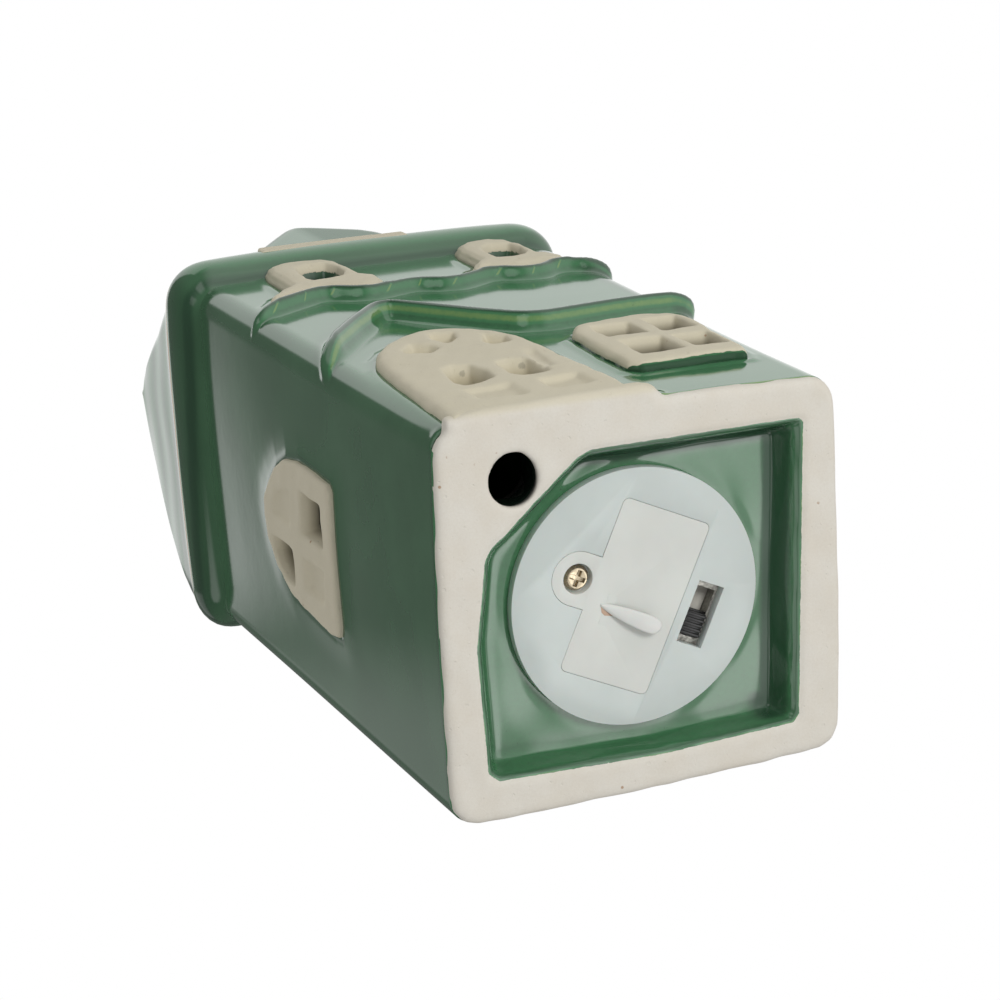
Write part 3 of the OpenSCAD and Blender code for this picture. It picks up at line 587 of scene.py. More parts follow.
# The sills, frames and panes of the two upper windows, the left one first
SILLS = [
    [(-26.4, 85.8), (-24.6, 85.2), (-21.6, 86.8), (-17.8, 88.9), (-15.6, 89.6), (-13.2, 88.2),
     (-10.0, 86.2), (-6.6, 86.8), (-4.9, 89.4), (-4.6, 93.6), (-6.6, 96.2), (-12, 96.6), (-19, 95.4),
     (-23.0, 92.0), (-25.6, 88.2)],
    [(10.0, 89.4), (11.4, 88.2), (13.6, 89.2), (18.0, 87.8), (22.8, 88.6), (26.2, 88.6), (28.0, 90.6),
     (27.9, 94), (26, 96.6), (20, 97), (14, 96.0), (11.4, 93)],
]
UPPER_FRAMES = [
    [(-20.2, 93), (-6.6, 93), (-6.2, 103), (-6.6, 108.6), (-8.4, 111.4), (-12.6, 112.2), (-16.6, 111.8),
     (-19.2, 110.2), (-20.0, 106)],
    [(13.4, 93), (25.8, 93), (25.6, 104), (24.8, 109.4), (22.0, 111.9), (17.0, 111.2), (14.4, 109),
     (13.6, 105)],
]
UPPER_PANES = [
    [(-16.4, 96.6), (-15.2, 94.9), (-12.6, 94.7), (-10.2, 95.6), (-8.9, 98.4), (-8.6, 103.6),
     (-9.6, 107.0), (-12.4, 107.6), (-15.2, 106.0), (-16.4, 101.4)],
    [(16.6, 96.6), (17.2, 94.4), (19.2, 94.0), (21.6, 95.2), (23.4, 97.8), (24.0, 102.4), (23.2, 106.0),
     (20.2, 106.6), (17.6, 104.6), (16.6, 100.8)],
]


def box_pane(x0, x1, z0, z1):
    return [(x0, z0), (x1, z0 + 0.2), (x1, z1), (x0, z1 - 0.3)]


# Each pane's outline, how deep it is pressed, and the share of it that goes through the wall
DOOR_PANES = [
    ([(-17.4, 44.9), (-19.8, 41.6), (-20.0, 38.6), (-16.9, 37.4), (-14.4, 40.0), (-14.9, 42.6)], 1.7, 0),
    ([(-13.2, 49.0), (-14.0, 45.4), (-12.5, 41.4), (-10.2, 43.6), (-9.3, 47.4)], 1.7, 0),
    ([(-6.0, 44.6), (-7.9, 39.4), (-7.1, 36.4), (-3.8, 37.6), (-3.2, 41.2)], 1.7, 0),
    ([(-5.0, 31.0), (-6.2, 18.5), (-4.6, 18.0), (-3.0, 31.5)], 0.6, 0),
    ([(-20.2, 18.1), (-19.3, 16.2), (-17.2, 16.8), (-14.2, 18.4), (-13.8, 22.5), (-14.8, 27.4),
      (-17.4, 28.4), (-19.6, 26.6)], 3.0, 0.34),
    ([(-11.7, 22.0), (-11.6, 19.0), (-10.7, 17.0), (-8.2, 16.4), (-6.0, 17.2), (-5.6, 22.0), (-6.4, 26.4),
      (-8.9, 27.6), (-11.0, 26.6)], 3.0, 0.34),
    (box_pane(-21.4, -13.4, 6.4, 14.0), 0.85, 0),
    (box_pane(-10.0, -3.2, 7.4, 13.8), 0.85, 0),
]
SQUARE_PANES = [
    (box_pane(9.4, 16.0, 31.8, 40.0), 3.2, 0.4),
    (box_pane(18.4, 24.2, 32.2, 41.0), 3.2, 0.4),
    (box_pane(9.2, 16.4, 19.4, 29.0), 3.2, 0.4),
    (box_pane(17.9, 23.8, 20.0, 29.2), 3.2, 0.4),
]
ARCH_PANES = [
    ([(-5.4, 61.4), (1.0, 61.6), (1.2, 71.2), (-0.6, 71.8), (-3.2, 68.6), (-4.8, 65.0)], 0.75, 0),
    ([(4.6, 61.6), (10.8, 61.8), (10.6, 66.4), (9.0, 70.0), (6.8, 72.4), (4.8, 72.4)], 3.4, 0.75),
    (box_pane(-6.2, 0.8, 47.4, 57.6), 3.4, 0.75),
    (box_pane(4.2, 9.8, 47.0, 57.2), 0.85, 0),
]


def front_distance(x, z):
    """Distance from the bare clay on the front wall."""
    shapes = [DOOR, SQUARE_WINDOW, *SILLS, *UPPER_FRAMES, [(-28.6, -5), (-28.6, 2.6), (3.4, 2.6), (4, -5)]]
    return np.minimum.reduce([distance_to(shape, x, z) for shape in shapes])


def glaze_line(u, v, c, s):
    """Height of the glaze's lower edge, just above the foot and drawn up in a curl beside the door."""
    wander = 0.22 * np.sin(u * 9 + v * 7 + 1.0) * np.cos(v * 13 - u * 5)
    curl = hump(u, -1.0, 0.10) * (s < -0.3)
    return 1.0 + wander + 0.8 * np.clip(np.maximum(c, s), 0, 1) + 1.3 * curl


# The rounded lower lip of the glazed walls: how far out and how far above the glaze line
LIP = [(-0.9, 0.0), (-0.45, -0.02), (-0.18, 0.05), (-0.04, 0.22), (0.0, 0.45)]
LIP_TOP = 0.45
# Heights of the rows of faces up the walls, closer together where the ledges run
WALL_ROWS = [(1.0, 41.0, 0.6), (41.0, 73.0, 0.36), (73.0, 77.5, 0.6), (77.5, 91.0, 0.36),
             (91.0, 106.0, 0.6)]
UNDER_EAVE = [106.4, 107.2, 108.2, 109.4, 111.0]


def glazed_walls():
    """All four walls above the foot as one closed shell, pierced by the windows."""
    table = outline_table()
    levels = np.concatenate([np.arange(*span) for span in WALL_ROWS] + [UNDER_EAVE])
    walls, column, row = wrapped_sheet("glazed_walls", len(table), len(LIP) + len(levels))
    at = table[column]
    out_low, rise_low = np.array(LIP).T
    low_row = np.minimum(row, len(LIP) - 1)
    line = glaze_line(*at.T)
    top = levels[-1]
    share = (levels[np.clip(row - len(LIP), 0, None)] - 0.55) / (top - 0.55)
    is_low = row < len(LIP)
    z = np.where(is_low, line + rise_low[low_row], line + LIP_TOP + share * (top - line - LIP_TOP))
    x, y = plan_points(at, z, np.where(is_low, out_low[low_row], 0.0))
    place_verts(walls.data, np.column_stack([x, y, z]))
    close_sheet(walls.data, 0.001)
    shape_walls(walls.data)
    near = (-HALF_W + WALL_T, -HALF_D + WALL_T, -2)
    far = (HALF_W - WALL_T, BACK_D - WALL_T, 120)
    cut(walls, [block("hollow", near, far)] + opening_cutters())
    colour_walls(walls.data)
    house_piece(walls, green_glaze, 50)


def opening_cutters():
    """Room in the glazed walls for the tunnels of the pierced panes."""
    pierced = {"front": [pane for pane, _, tunnel in DOOR_PANES + SQUARE_PANES if tunnel] + UPPER_PANES}
    pierced["left"] = pierced["right"] = [pane for pane, _, tunnel in ARCH_PANES if tunnel]
    made = []
    for side, panes in pierced.items():
        for pane in panes:
            cutter = prism("light", shrunk(pane, 0.94), -WALL_T - 3, 4)
            co = verts_of(cutter.data)
            place_verts(cutter.data, local_points(*co.T, side))
            if side == "left":
                cutter.data.flip_normals()
            made.append(cutter)
    return made


def front_share(y):
    """How much a point belongs to the front wall."""
    return smoothstep(-HALF_D + 3.2, -HALF_D + 0.6, y)


def ledges(x, z):
    """How far the hood and the wave stand out, as shares, and the height above the crest of each."""
    over_hood = (z - hood_line(x)) / steep(hood_line, x)
    over_wave = (z - wave_line(x)) / steep(wave_line, x)
    # Both run out to a thin tail at the left corner of the house
    tail = 0.35 + 0.65 * smoothstep(-31.0, -25.5, x)
    hood = tail * np.exp(-np.abs(over_hood / (1.7 * tail)) ** 2.3)
    wave = tail * np.exp(-np.abs(over_wave / (1.4 * tail)) ** 2.2)
    return hood, wave, over_hood, over_wave


def shape_walls(mesh):
    """Ledges, the rims where glaze meets clay, and the unevenness of a pressed wall."""
    co = verts_of(mesh)
    x, y, z = co.T
    front = front_share(y)
    c = np.clip((np.abs(x) - half_width(z, x > 0) + CORNER_R) / CORNER_R, 0, 1) * np.sign(x)
    s = np.clip((np.abs(y) - half_depth(x / HALF_W, y > 0) + CORNER_R) / CORNER_R, 0, 1) * np.sign(y)
    away = np.column_stack([c, s, y * 0])
    size = np.linalg.norm(away, axis=1)
    size[size == 0] = 1
    away /= size[:, None]
    hood, wave, _, _ = ledges(x, z)
    fade = front * smoothstep(32.2, 29.4, -x)
    push = fade * (HOOD_OUT * hood + WAVE_OUT * wave)
    gap = front_distance(x, z)
    push += front * 0.22 * hump(gap, 0.6, 0.8) * (gap > -1.5)
    side_gap = distance_to(SIDE_WINDOW, y, z)
    flat = smoothstep(HALF_W - 3.4, HALF_W - 0.4, np.abs(x))
    swell = 0.15 * hump(np.maximum(side_gap, 0), 0, 3.0)
    push += flat * (swell + 0.12 * hump(side_gap, 0.5, 0.7))
    push += 0.035 * ripple(co, 60, 3) * smoothstep(2, 10, z) + 0.005 * front * ripple(co, 14, 5)
    place_verts(mesh, co + away * push[:, None])


def colour_walls(mesh):
    """Where the glaze of the walls pools, runs thin and breaks, and where shade is painted under the
    ledges.
    """
    x, y, z = verts_of(mesh).T
    front = front_share(y)
    hood, wave, over_hood, over_wave = ledges(x, z)
    gap = np.where(front > 0.3, front_distance(x, z), 50)
    side_gap = np.where(np.abs(x) > HALF_W - 2, distance_to(SIDE_WINDOW, y, z), 50)
    near = np.minimum(gap, side_gap)
    line = np.minimum(near, np.abs(z - 1.4) + (z > 4) * 50)
    # Under each ledge the glaze is darker: painted shade
    under = hump(z - hood_line(x), -3.4, 1.6)
    under += 0.7 * hump(z - wave_line(x), -2.6, 1.2)
    pool = 0.55 * hump(line, 0, 1.2) + front * (0.6 * under + 0.8 * np.maximum(hood, wave))
    # The ticks across the wave lean and crowd a little
    along = x + 1.3 * np.abs(over_wave + 0.5) + 1.2 * np.sin(x * 0.33)
    store(mesh, over_hood=over_hood, over_wave=over_wave, along_wave=along)
    store(mesh, ledge=front * smoothstep(-31.5, -29.5, x), pool=np.clip(pool, 0, 1))
    rim = hump(z, 1.25, 0.3)
    flat = front * (1 - np.maximum(hood, wave)) * smoothstep(HALF_W - 0.4, HALF_W - 3.6, np.abs(x))
    store(mesh, thin=np.clip(0.5 * rim + 0.34 * flat + 0.04, 0, 0.84))


# Outline of the gable, as heights and the depth at each of them, in front and behind
ROOF_FRONT = ([117.4, 121.5, 127.8, 131.0, 134.5, 138.4, 141.2, RIDGE_Z],
              [-31.0, -27.2, -21.2, -18.6, -15.2, -11.3, -7.3, -4.6])
ROOF_BACK = ([117.4, 121.9, 126.0, 129.5, 133.0, 136.0, 138.4, 140.4, 141.4, RIDGE_Z],
             [31.4, 29.2, 26.0, 22.4, 16.6, 12.0, 8.2, 4.4, 1.0, -2.4])
# Section of the eave, as reach past the wall and height, from inside the wall to the top of its roll
EAVE = [(-1.2, 108.2), (-0.3, 108.7), (0.05, 109.2), (0.22, 109.7), (0.5, 110.15), (0.9, 110.5),
        (1.4, 110.9), (1.95, 111.35), (2.45, 111.9), (2.85, 112.6), (3.1, 113.4), (3.25, 114.3),
        (3.33, 115.2), (3.35, 116.0), (3.34, 116.6), (3.3, 117.1), (3.22, 117.5), (3.1, 117.8),
        (2.95, 118.0), (2.8, 118.2)]
# How far the top of the eave stands up at the front of the left side, and drops towards its back
LEFT_LIFT = 1.2
LEFT_DROP = 4.0
# Where the front of the eave lies, and its depth from front to back
EAVE_FRONT = -31.2
EAVE_DEPTH = 62.9
ROOF_ROWS = 63


def towards_back(y):
    """How far along a side wall a place is, from front to back."""
    return smoothstep(-26, 28, y)


def roof_places(table, column, row):
    """Where the vertices of the roof's sheet go: up the eave's section, then up the gable to the ridge."""
    climbs = 1 - (1 - np.linspace(0, 1, ROOF_ROWS + 1)[1:]) ** 1.6
    at = table[column]
    u, v, c, _ = at.T
    reach, height = np.array(EAVE).T
    low_row = np.minimum(row, len(EAVE) - 1)
    x, y = plan_points(at, np.full(len(row), WALL_H), reach[low_row])
    z = height[low_row]
    # The roll sags towards the back of the left side, and at the corners
    left = np.clip(-c, 0, 1)
    back = towards_back(y)
    up = smoothstep(108, 118, z)
    z = z + left * ((1 - up) * (-1.6 - 2.2 * back) + up * (LEFT_LIFT - LEFT_DROP * back))
    z -= 0.9 * (np.abs(u) ** 6) * (np.abs(v) ** 6) * up
    climb = np.concatenate([np.zeros(len(EAVE)), climbs])[row]
    z += (RIDGE_Z - z) * climb
    share = (y - EAVE_FRONT) / EAVE_DEPTH
    y_front = np.interp(z, *ROOF_FRONT)
    y_back = np.interp(z, *ROOF_BACK)
    y = np.where(climb > 0, y_front + share * (y_back - y_front), y)
    x = np.where(climb > 0, x * (1 - 0.030 * climb), x)
    return np.column_stack([x, y, z])


def roof_and_eave():
    """The eave's roll and the roof above it, as one closed body."""
    table = outline_table()
    roof, column, row = wrapped_sheet("roof_and_eave", len(table), len(EAVE) + ROOF_ROWS)
    mesh = roof.data
    place_verts(mesh, roof_places(table, column, row))
    close_sheet(mesh, 0.01)
    relax(mesh, 26, 0.7)
    co = verts_of(mesh)
    x, y, z = co.T
    side = np.abs(x)
    at_side = smoothstep(HALF_W + 0.5, HALF_W + 1.5, side)
    # Faint courses run across both gables
    courses = smoothstep(119, 121.5, z) * at_side
    push = (0.06 * ripple(co, 38, 11) + 0.008 * ripple(co, 14, 12)) * smoothstep(110, 113, z)
    push += courses * 0.045 * np.sin(z * 0.62 + 1.1 * np.sin(y * 0.11) + 0.4 * np.sin(y * 0.31))
    place_verts(mesh, co + normals_of(mesh) * push[:, None])
    # A broken line of glaze along the top of the roll, on both gables
    left = smoothstep(-HALF_W - 1.0, -HALF_W - 2.4, x)
    top = 118.0 + left * (LEFT_LIFT - LEFT_DROP * towards_back(y))
    bare = np.exp(-(np.abs(z - top + 1.5) / 0.8) ** 4) * smoothstep(HALF_W + 2.4, HALF_W + 3.4, side)
    # Painted shade in the crease where the roll meets the wall
    crease = hump(z, 110.0, 0.9)
    ridge = hump(z, 141.6, 1.0)
    face = smoothstep(-HALF_D - 1.2, -HALF_D - 2.4, y) * smoothstep(111, 113, z) * (z < 119)
    streak = 0.3 + 0.13 * np.sin(z * 0.95 + 1.1 * np.sin(y * 0.14)) + 0.06 * np.sin(z * 2.3 + 0.2 * y)
    streak *= smoothstep(119, 121, z) * at_side
    store(mesh, pool=np.clip(0.75 * crease + 0.45 * smoothstep(HALF_W + 1, HALF_W + 3, side), 0, 1))
    store(mesh, thin=np.clip(1.25 * bare + 0.3 * ridge + 0.42 * face + streak, 0, 1.2))
    store(mesh, shade=0.35 * np.clip(streak - 0.25, 0, 1))
    house_piece(roof, green_glaze)


def local_points(x, z, out, side):
    """From a wall's own plane (across, up, out) to the house."""
    if side == "front":
        bow = BOW * (1 - np.clip(x / (HALF_W - CORNER_R), -1, 1) ** 2)
        return np.column_stack([x, -(HALF_D + bow + out), z])
    sign = -1 if side == "left" else 1
    bow = BOW * (1 - np.clip(x / (HALF_D - CORNER_R), -1, 1) ** 2)
    return np.column_stack([sign * (half_width(z, sign > 0) + bow + out), x, z])


def shrunk(points, amount):
    middle = np.mean(np.array(points), axis=0)
    return [tuple(middle + (np.array(p) - middle) * amount) for p in points]


def inset(outline, amount):
    """Moves every corner of a closed outline inward."""
    pts = np.array(outline, float)
    ahead = np.roll(pts, -1, axis=0) - pts
    ahead /= np.linalg.norm(ahead, axis=1)[:, None]
    turn = np.sign((pts[:, 0] * np.roll(pts[:, 1], -1) - np.roll(pts[:, 0], -1) * pts[:, 1]).sum())
    inward = np.column_stack([-ahead[:, 1], ahead[:, 0]]) * turn
    both = inward + np.roll(inward, 1, axis=0)
    both /= np.maximum((both * inward).sum(axis=1), 0.4)[:, None]
    return [tuple(p) for p in pts + both * amount]


def pit(points, face, depth):
    """A pressed pane as a cutter that narrows inward; drawn in the wall's plane, out along +Z."""
    wide = 1 + (1 - PANE_TAPER) * 1.5 / depth
    made = prism("pit", shrunk(points, PANE_TAPER), face - depth, face + 1.5, wide / PANE_TAPER)
    for v in made.data.vertices:
        if v.co.z < face:
            v.co.y -= 0.30 * depth
    return made


# Steps of a frame's rounded edge: how far each is set in, and how far it lies under the face
ROUNDING = [(0, 1.0), (0.32, 0.42), (0.75, 0.12), (1.3, 0)]
# Two tiny dark spots of glaze with painted shade, which stand for holes deep in the door's pierced panes,
# and the way they run
PAINTED_HOLES = [(-16.1, -0.6, 26.3), (-7.0, -0.6, 26.0)]
PAINTED_HOLE_R = 0.46
PAINTED_HOLE_WAY = (0.349, 0.211, 0.913)


def clay_slab(name, outlines, panes, proud, edge):
    """A frame's outlines, each with a rounded edge, with its panes pressed in or pierced."""
    slab = None
    for outline in outlines:
        for share, drop in ROUNDING:
            part = prism(name, inset(outline, share * edge), -WALL_T - 0.3, proud - drop * edge)
            slab = cut(slab, [part], "UNION") if slab else part
    cutters = []
    for points, depth, tunnel in panes:
        cutters.append(pit(points, proud, depth))
        if tunnel:
            cutters.append(prism("tunnel", shrunk(points, tunnel), -6.5, proud - depth + 0.3))
    return cut(slab, cutters)


def painted_hole_spots(px, py, out):
    """Which points of the door lie in one of its painted hole spots."""
    way = np.array(PAINTED_HOLE_WAY)
    spots = np.zeros(len(px), bool)
    for hole in PAINTED_HOLES:
        to_hole = np.column_stack([px, -out, py]) - hole
        aside = np.linalg.norm(to_hole - np.outer(to_hole @ way, way), axis=1)
        spots |= (aside < PAINTED_HOLE_R) & (out < DOOR_OUT - 0.7)
    return spots


def clay_frame(name, outlines, panes, proud, side, voxel, rounds, sides_glazed=0.1, edge=1.0, lip=9.0,
               dark_from=1.3):
    """A bare clay frame, softened as wet clay is.

    sides_glazed says how far up its sides the glaze comes, lip how deep the clay stays bare inside a
    pierced pane, and dark_from from which height inward the panes and tunnels get painted shade."""
    slab = clay_slab(name, outlines, panes, proud, edge)
    remeshed(slab, voxel)
    mesh = slab.data
    relax(mesh, rounds, 0.35)
    co = verts_of(mesh)
    away = normals_of(mesh)
    px, py, out = co.T.copy()
    push = 0.10 * ripple(co, 9, 21) + 0.04 * ripple(co, 3.2, 22)
    gap = np.minimum.reduce([distance_to(outline, px, py) for outline in outlines])
    # Only a frame with well glazed sides has glaze on its lower edge
    lower = smoothstep(0.35, 0.7, -away[:, 1]) * (sides_glazed > 0.3)
    glazed = np.where(gap > -1.6, sides_glazed - out + 0.9 * lower * smoothstep(-1.6, -0.7, gap), -1)
    if side != "front":
        glazed = gap + sides_glazed + 0.16 * ripple(co, 2.4, 41)
    for points, depth, tunnel in panes:
        if tunnel:
            inside = distance_to(points, px, py) < 0.5
            glazed = np.where(inside & (out < proud - min(depth - 0.1, lip)), 0.4, glazed)
    glazed = np.where(out < -1.6, 0.4, glazed)
    co += away * (push * smoothstep(-1.5, 0.2, out))[:, None]
    store(mesh, glazed=glazed, warm=1.0, pool=0.6)
    # Painted shade towards the bottom of the pressed panes
    store(mesh, dip=0.7 * smoothstep(proud - 0.3, proud - 2.4, out) * (gap < -1.2))
    # Painted shade, growing inward into the panes and tunnels
    shade = smoothstep(dark_from, dark_from - 2.9, out)
    # Painted shade: two dark green spots stand for holes in the door's pierced panes
    if name == "door":
        spots = painted_hole_spots(px, py, out)
        glazed = np.where(spots, 1.5, glazed)
        shade = np.where(spots, 0.3, shade)
    store(mesh, thin=np.clip(0.5 * hump(glazed, 0.08, 0.12) * (out > -0.5), 0, 1))
    # The glazed sides get a little painted shade as well
    store(mesh, shade=np.where(glazed > 0, np.maximum(shade, 0.12), shade))
    store(mesh, quiet=0.85 * lower + 1.0 * (name == "door"))
    place_verts(mesh, local_points(*co.T, side))
    if side == "left":
        mesh.flip_normals()
    house_piece(slab, clay_and_glaze)


def clay_frames():
    clay_frame("door", [DOOR], DOOR_PANES, DOOR_OUT, "front", 0.27, 9, dark_from=0.0)
    clay_frame("square_window", [SQUARE_WINDOW], SQUARE_PANES, SQUARE_OUT, "front", 0.28, 8,
               sides_glazed=0.4)
    for name, upper, sill, pane in zip(("left", "right"), UPPER_FRAMES, SILLS, UPPER_PANES):
        clay_frame("upper_window_" + name, [upper, sill], [(pane, 4.0, 0.8)], UPPER_OUT, "front", 0.26, 9,
                   edge=1.6, lip=1.4)
    for side in ("left", "right"):
        clay_frame("side_window_" + side, [SIDE_WINDOW], ARCH_PANES, SIDE_OUT, side, 0.3, 7,
                   sides_glazed=-0.25, edge=0.35, dark_from=0.1)


# Plan of the recess's rim in the foot, with the cut corner beside the vent
RIM = [(24.6, -22.1), (25.0, -21.6), (23.4, 21.9), (22.6, 22.8), (2.0, 23.9), (-23.2, 23.4),
       (-24.6, 22.2), (-25.4, 4.2), (-23.6, -8.6), (-22.6, -10.2), (-20.1, -12.2), (-17.0, -14.8),
       (-13.1, -18.1), (-9.2, -21.3), (-7.4, -22.0)]
# The recess narrows by this much up to its floor, and a little less at the back
RECESS_DRAFT = 2.3
BACK_DRAFT = 1.5
# Levels of the foot's rounded outer edge: set in, from, to
FOOT_LEVELS = [(0.5, 0.22, 0.8), (0.15, 0.5, 1.2), (0.0, 0.9, 2.1), (1.5, 1.8, FLOOR_TOP)]


def doorstep(amount, low):
    """One level of the doorstep, set in by amount."""
    front = amount - HALF_D
    edge = [(amount - 28.6, 3 - HALF_D), (amount - 28.4, front - 1.2), (-24, front - 1.9),
            (-10, front - 2.3), (0.6, front - 2.4), (2.6, front - 2.0), (4.0 - amount, front - 0.4),
            (4.6 - amount, 3 - HALF_D)]
    return prism("step", edge, low, 3.0 - amount)


def vent_cutter():
    """The vent's bore, wider inside than at the foot."""
    bore = rod("vent", 0, 0, VENT_R, 0, 1)
    for v in bore.data.vertices:
        across, along, z = (1.6, 1.6, 12) if v.co.z > 0.5 else (0.92, 1.02, -2.5)
        v.co = Vector((v.co.x * across + VENT[0], v.co.y * along + VENT[1], z))
    return bore


def foot_solid():
    """The foot ring and the doorstep, with the recess, the light's seat and the vent cut in."""
    table = outline_table()[::3]

    def ring(inside, low, high):
        return prism("foot", list(zip(*plan_points(table, np.zeros(len(table)), -inside))), low, high)

    foot = ring(0.95, 0.05, 0.5)
    cut(foot, [ring(*level) for level in FOOT_LEVELS], "UNION")
    cut(foot, [doorstep(amount, low) for amount, low in ((0.9, 0.1), (0.4, 0.4), (0.0, 0.9))], "UNION")
    bowl = prism("bowl", shrunk(RIM, 1.075), -1.2, 0.75, 1 / 1.075)
    floor = prism("floor", inset(RIM, 0.1), 0.2, RECESS_Z)
    upper = sorted([v for v in floor.data.vertices if v.co.z > 1], key=lambda v: v.index)
    for v, (x, y) in zip(upper, inset(RIM, RECESS_DRAFT)):
        v.co.x, v.co.y = x, y + BACK_DRAFT * (y > 15)
    cut(foot, [bowl, floor])
    cut(foot, [rod("seat", *SEAT, SEAT_R, -2, 12), vent_cutter()])
    return remeshed(foot, 0.34)


def foot_and_recess():
    """The bare foot ring with its doorstep, and the glazed recess that the light sits in."""
    foot = foot_solid()
    mesh = foot.data
    relax(mesh, 11, 0.55)
    firm = verts_of(mesh)
    relax(mesh, 60, 0.78)
    # Inside the recess and clear of the seat, the walls are softer than the ring
    x, y, z = firm.T
    inside = smoothstep(0.3, 1.6, -distance_to(RIM, x, y)) * smoothstep(0.8, 2.2, z)
    inside *= smoothstep(18.6, 20.2, np.hypot(x - SEAT[0], y - SEAT[1]))
    co = firm + (verts_of(mesh) - firm) * inside[:, None]
    place_verts(mesh, co)
    x, y, z = co.T
    away = normals_of(mesh)
    rim_gap = -distance_to(RIM, x, y)
    seat = np.hypot(x - SEAT[0], y - SEAT[1])
    vent = np.hypot(x - VENT[0], y - VENT[1])
    # The glaze comes down to just inside the rim, and covers neither the seat nor the ring
    glazed = np.where(rim_gap > 1.2, 3.0, np.minimum(rim_gap + 0.55, 3.0) + (z - 0.55) * 0.9)
    glazed = np.where((z > RECESS_Z + 1.0) | (rim_gap < -0.6), -1.0, glazed)
    glazed = np.where(seat < SEAT_R + 0.35, np.minimum(glazed, seat - SEAT_R - 0.1), glazed)
    in_vent = (vent < VENT_ROOM) & (z > 0.6) & (rim_gap < -0.8)
    glazed = np.where(in_vent, np.minimum(z - 1.6, 0.6), glazed)
    push = smoothstep(-0.05, 0.5, glazed) * 0.16 + 0.10 * hump(glazed, 0.35, 0.3)
    wavy = 0.08 * ripple(co, 12, 31) * smoothstep(2.5, 4.5, z) * smoothstep(19.4, 21, seat)
    wavy += 0.05 * ripple(co, 6, 32) * (z < 1.5)
    moved = co + away * (push + wavy)[:, None]
    # The light unit's disc keeps its room
    over_disc = (seat < DISC_ROOM_R) & (moved[:, 2] < RECESS_Z + 0.6) & (moved[:, 2] > 4)
    moved[over_disc, 2] = np.maximum(moved[over_disc, 2], DISC_ROOM_Z)
    moved[:, 2] = np.maximum(moved[:, 2], 0.0)
    place_verts(mesh, moved)
    corner = smoothstep(4.4, 2.8, rim_gap) * smoothstep(1.0, 2.5, z)
    pool = 0.25 * hump(z, RECESS_Z, 0.8) * hump(rim_gap, 2.4, 1.0)
    # The vent's bore is darkened all through: painted shade
    pool += 0.2 * hump(glazed, 0.7, 0.5) + (vent < VENT_ROOM) * (z > 1.2)
    pool += 0.8 * corner * np.maximum(smoothstep(17, 20, x), smoothstep(-17, -19, y))
    pool = np.clip(pool, 0, 1)
    flat = smoothstep(0.3, 1.5, z) * (vent > VENT_ROOM) * (1 - pool)
    thin = np.clip(0.75 * hump(glazed, 0.08, 0.14) + 0.3 * flat, 0, 1)
    warm = 0.75 * smoothstep(-HALF_D - 0.8, -HALF_D - 1.8, moved[:, 1]) + 0.25 * smoothstep(0.5, 2.5, z)
    store(mesh, glazed=glazed, pool=pool, thin=thin, warm=warm, dip=0.0)
    # Painted shade deep in the vent's bore
    store(mesh, shade=smoothstep(VENT_ROOM, 5.4, vent) * smoothstep(0.5, 1.5, z))
    house_piece(foot, clay_and_glaze)


# Outlines of the dormer's face and of the bare strip along its foot, seen from the front
GABLE = [(-18.4, 115), (-18.2, 120.4), (-15.0, 125.4), (-11.2, 131.0), (-7.8, 135.8), (-6.0, 137.6),
         (-4.2, 138.0), (-1.6, 136.6), (2.0, 133.6), (5.6, 130.4), (7.6, 126.4), (8.2, 121.0), (8.2, 115)]
STRIP = [(-17.9, 115.4), (8.9, 115.4), (8.7, 119.1), (-17.5, 119.4)]
DORMER_FACE = HALF_D + 2.4
CREASE_X = -5.0


def stood_up(mesh):
    """Turns a shape that was drawn lying down, so that its front faces the house's front."""
    co = verts_of(mesh)
    co = np.column_stack([co[:, 0], -co[:, 2], co[:, 1]])
    place_verts(mesh, co)
    return co


def dormer():
    """The gabled dormer: a creased glazed face over a strip of bare clay along the eave."""
    body = prism("dormer", GABLE, 4, DORMER_FACE)
    cut(body, [prism("round", inset(GABLE, 0.8), 1, DORMER_FACE + 0.5)], "UNION")
    remeshed(body, 0.45)
    mesh = body.data
    relax(mesh, 8, 0.4)
    co = stood_up(mesh)
    x, y, z = co.T
    # Both halves of the face fall back a little from the crease
    back = 0.03 * np.maximum(CREASE_X - x, 0) + 0.02 * np.maximum(x - CREASE_X, 0)
    edge = hump(distance_to(GABLE, x, z), -0.7, 0.6)
    right = smoothstep(-6.5, -3.0, x)
    co[:, 1] += smoothstep(-20, -26, y) * back
    place_verts(mesh, co)
    # Painted shade: the face darkens along its edge and over its right half
    store(mesh, pool=np.clip(0.2 + 0.6 * edge, 0, 1), thin=0.45)
    store(mesh, shade=np.clip(0.15 + 0.6 * edge + 0.2 * right, 0, 1))
    store(mesh, quiet=np.clip(0.65 + 0.35 * right + edge, 0, 1))
    house_piece(body, green_glaze)
    strip = prism("dormer_sill", STRIP, 20, DORMER_FACE + 1.3)
    remeshed(strip, 0.36)
    relax(strip.data, 6, 0.4)
    stood_up(strip.data)
    # The strip's clay is a little darker all over
    store(strip.data, warm=1.0, dip=0.2, glazed=-1.0, pool=0.0, thin=0.0)
    house_piece(strip, clay_and_glaze)


glazed_walls()
roof_and_eave()
foot_and_recess()
clay_frames()
dormer()


# Light unit


def body_of(node):
    for body, members in frame["record"]["behaviour"]["bodies"].items():
        if node in members:
            return body


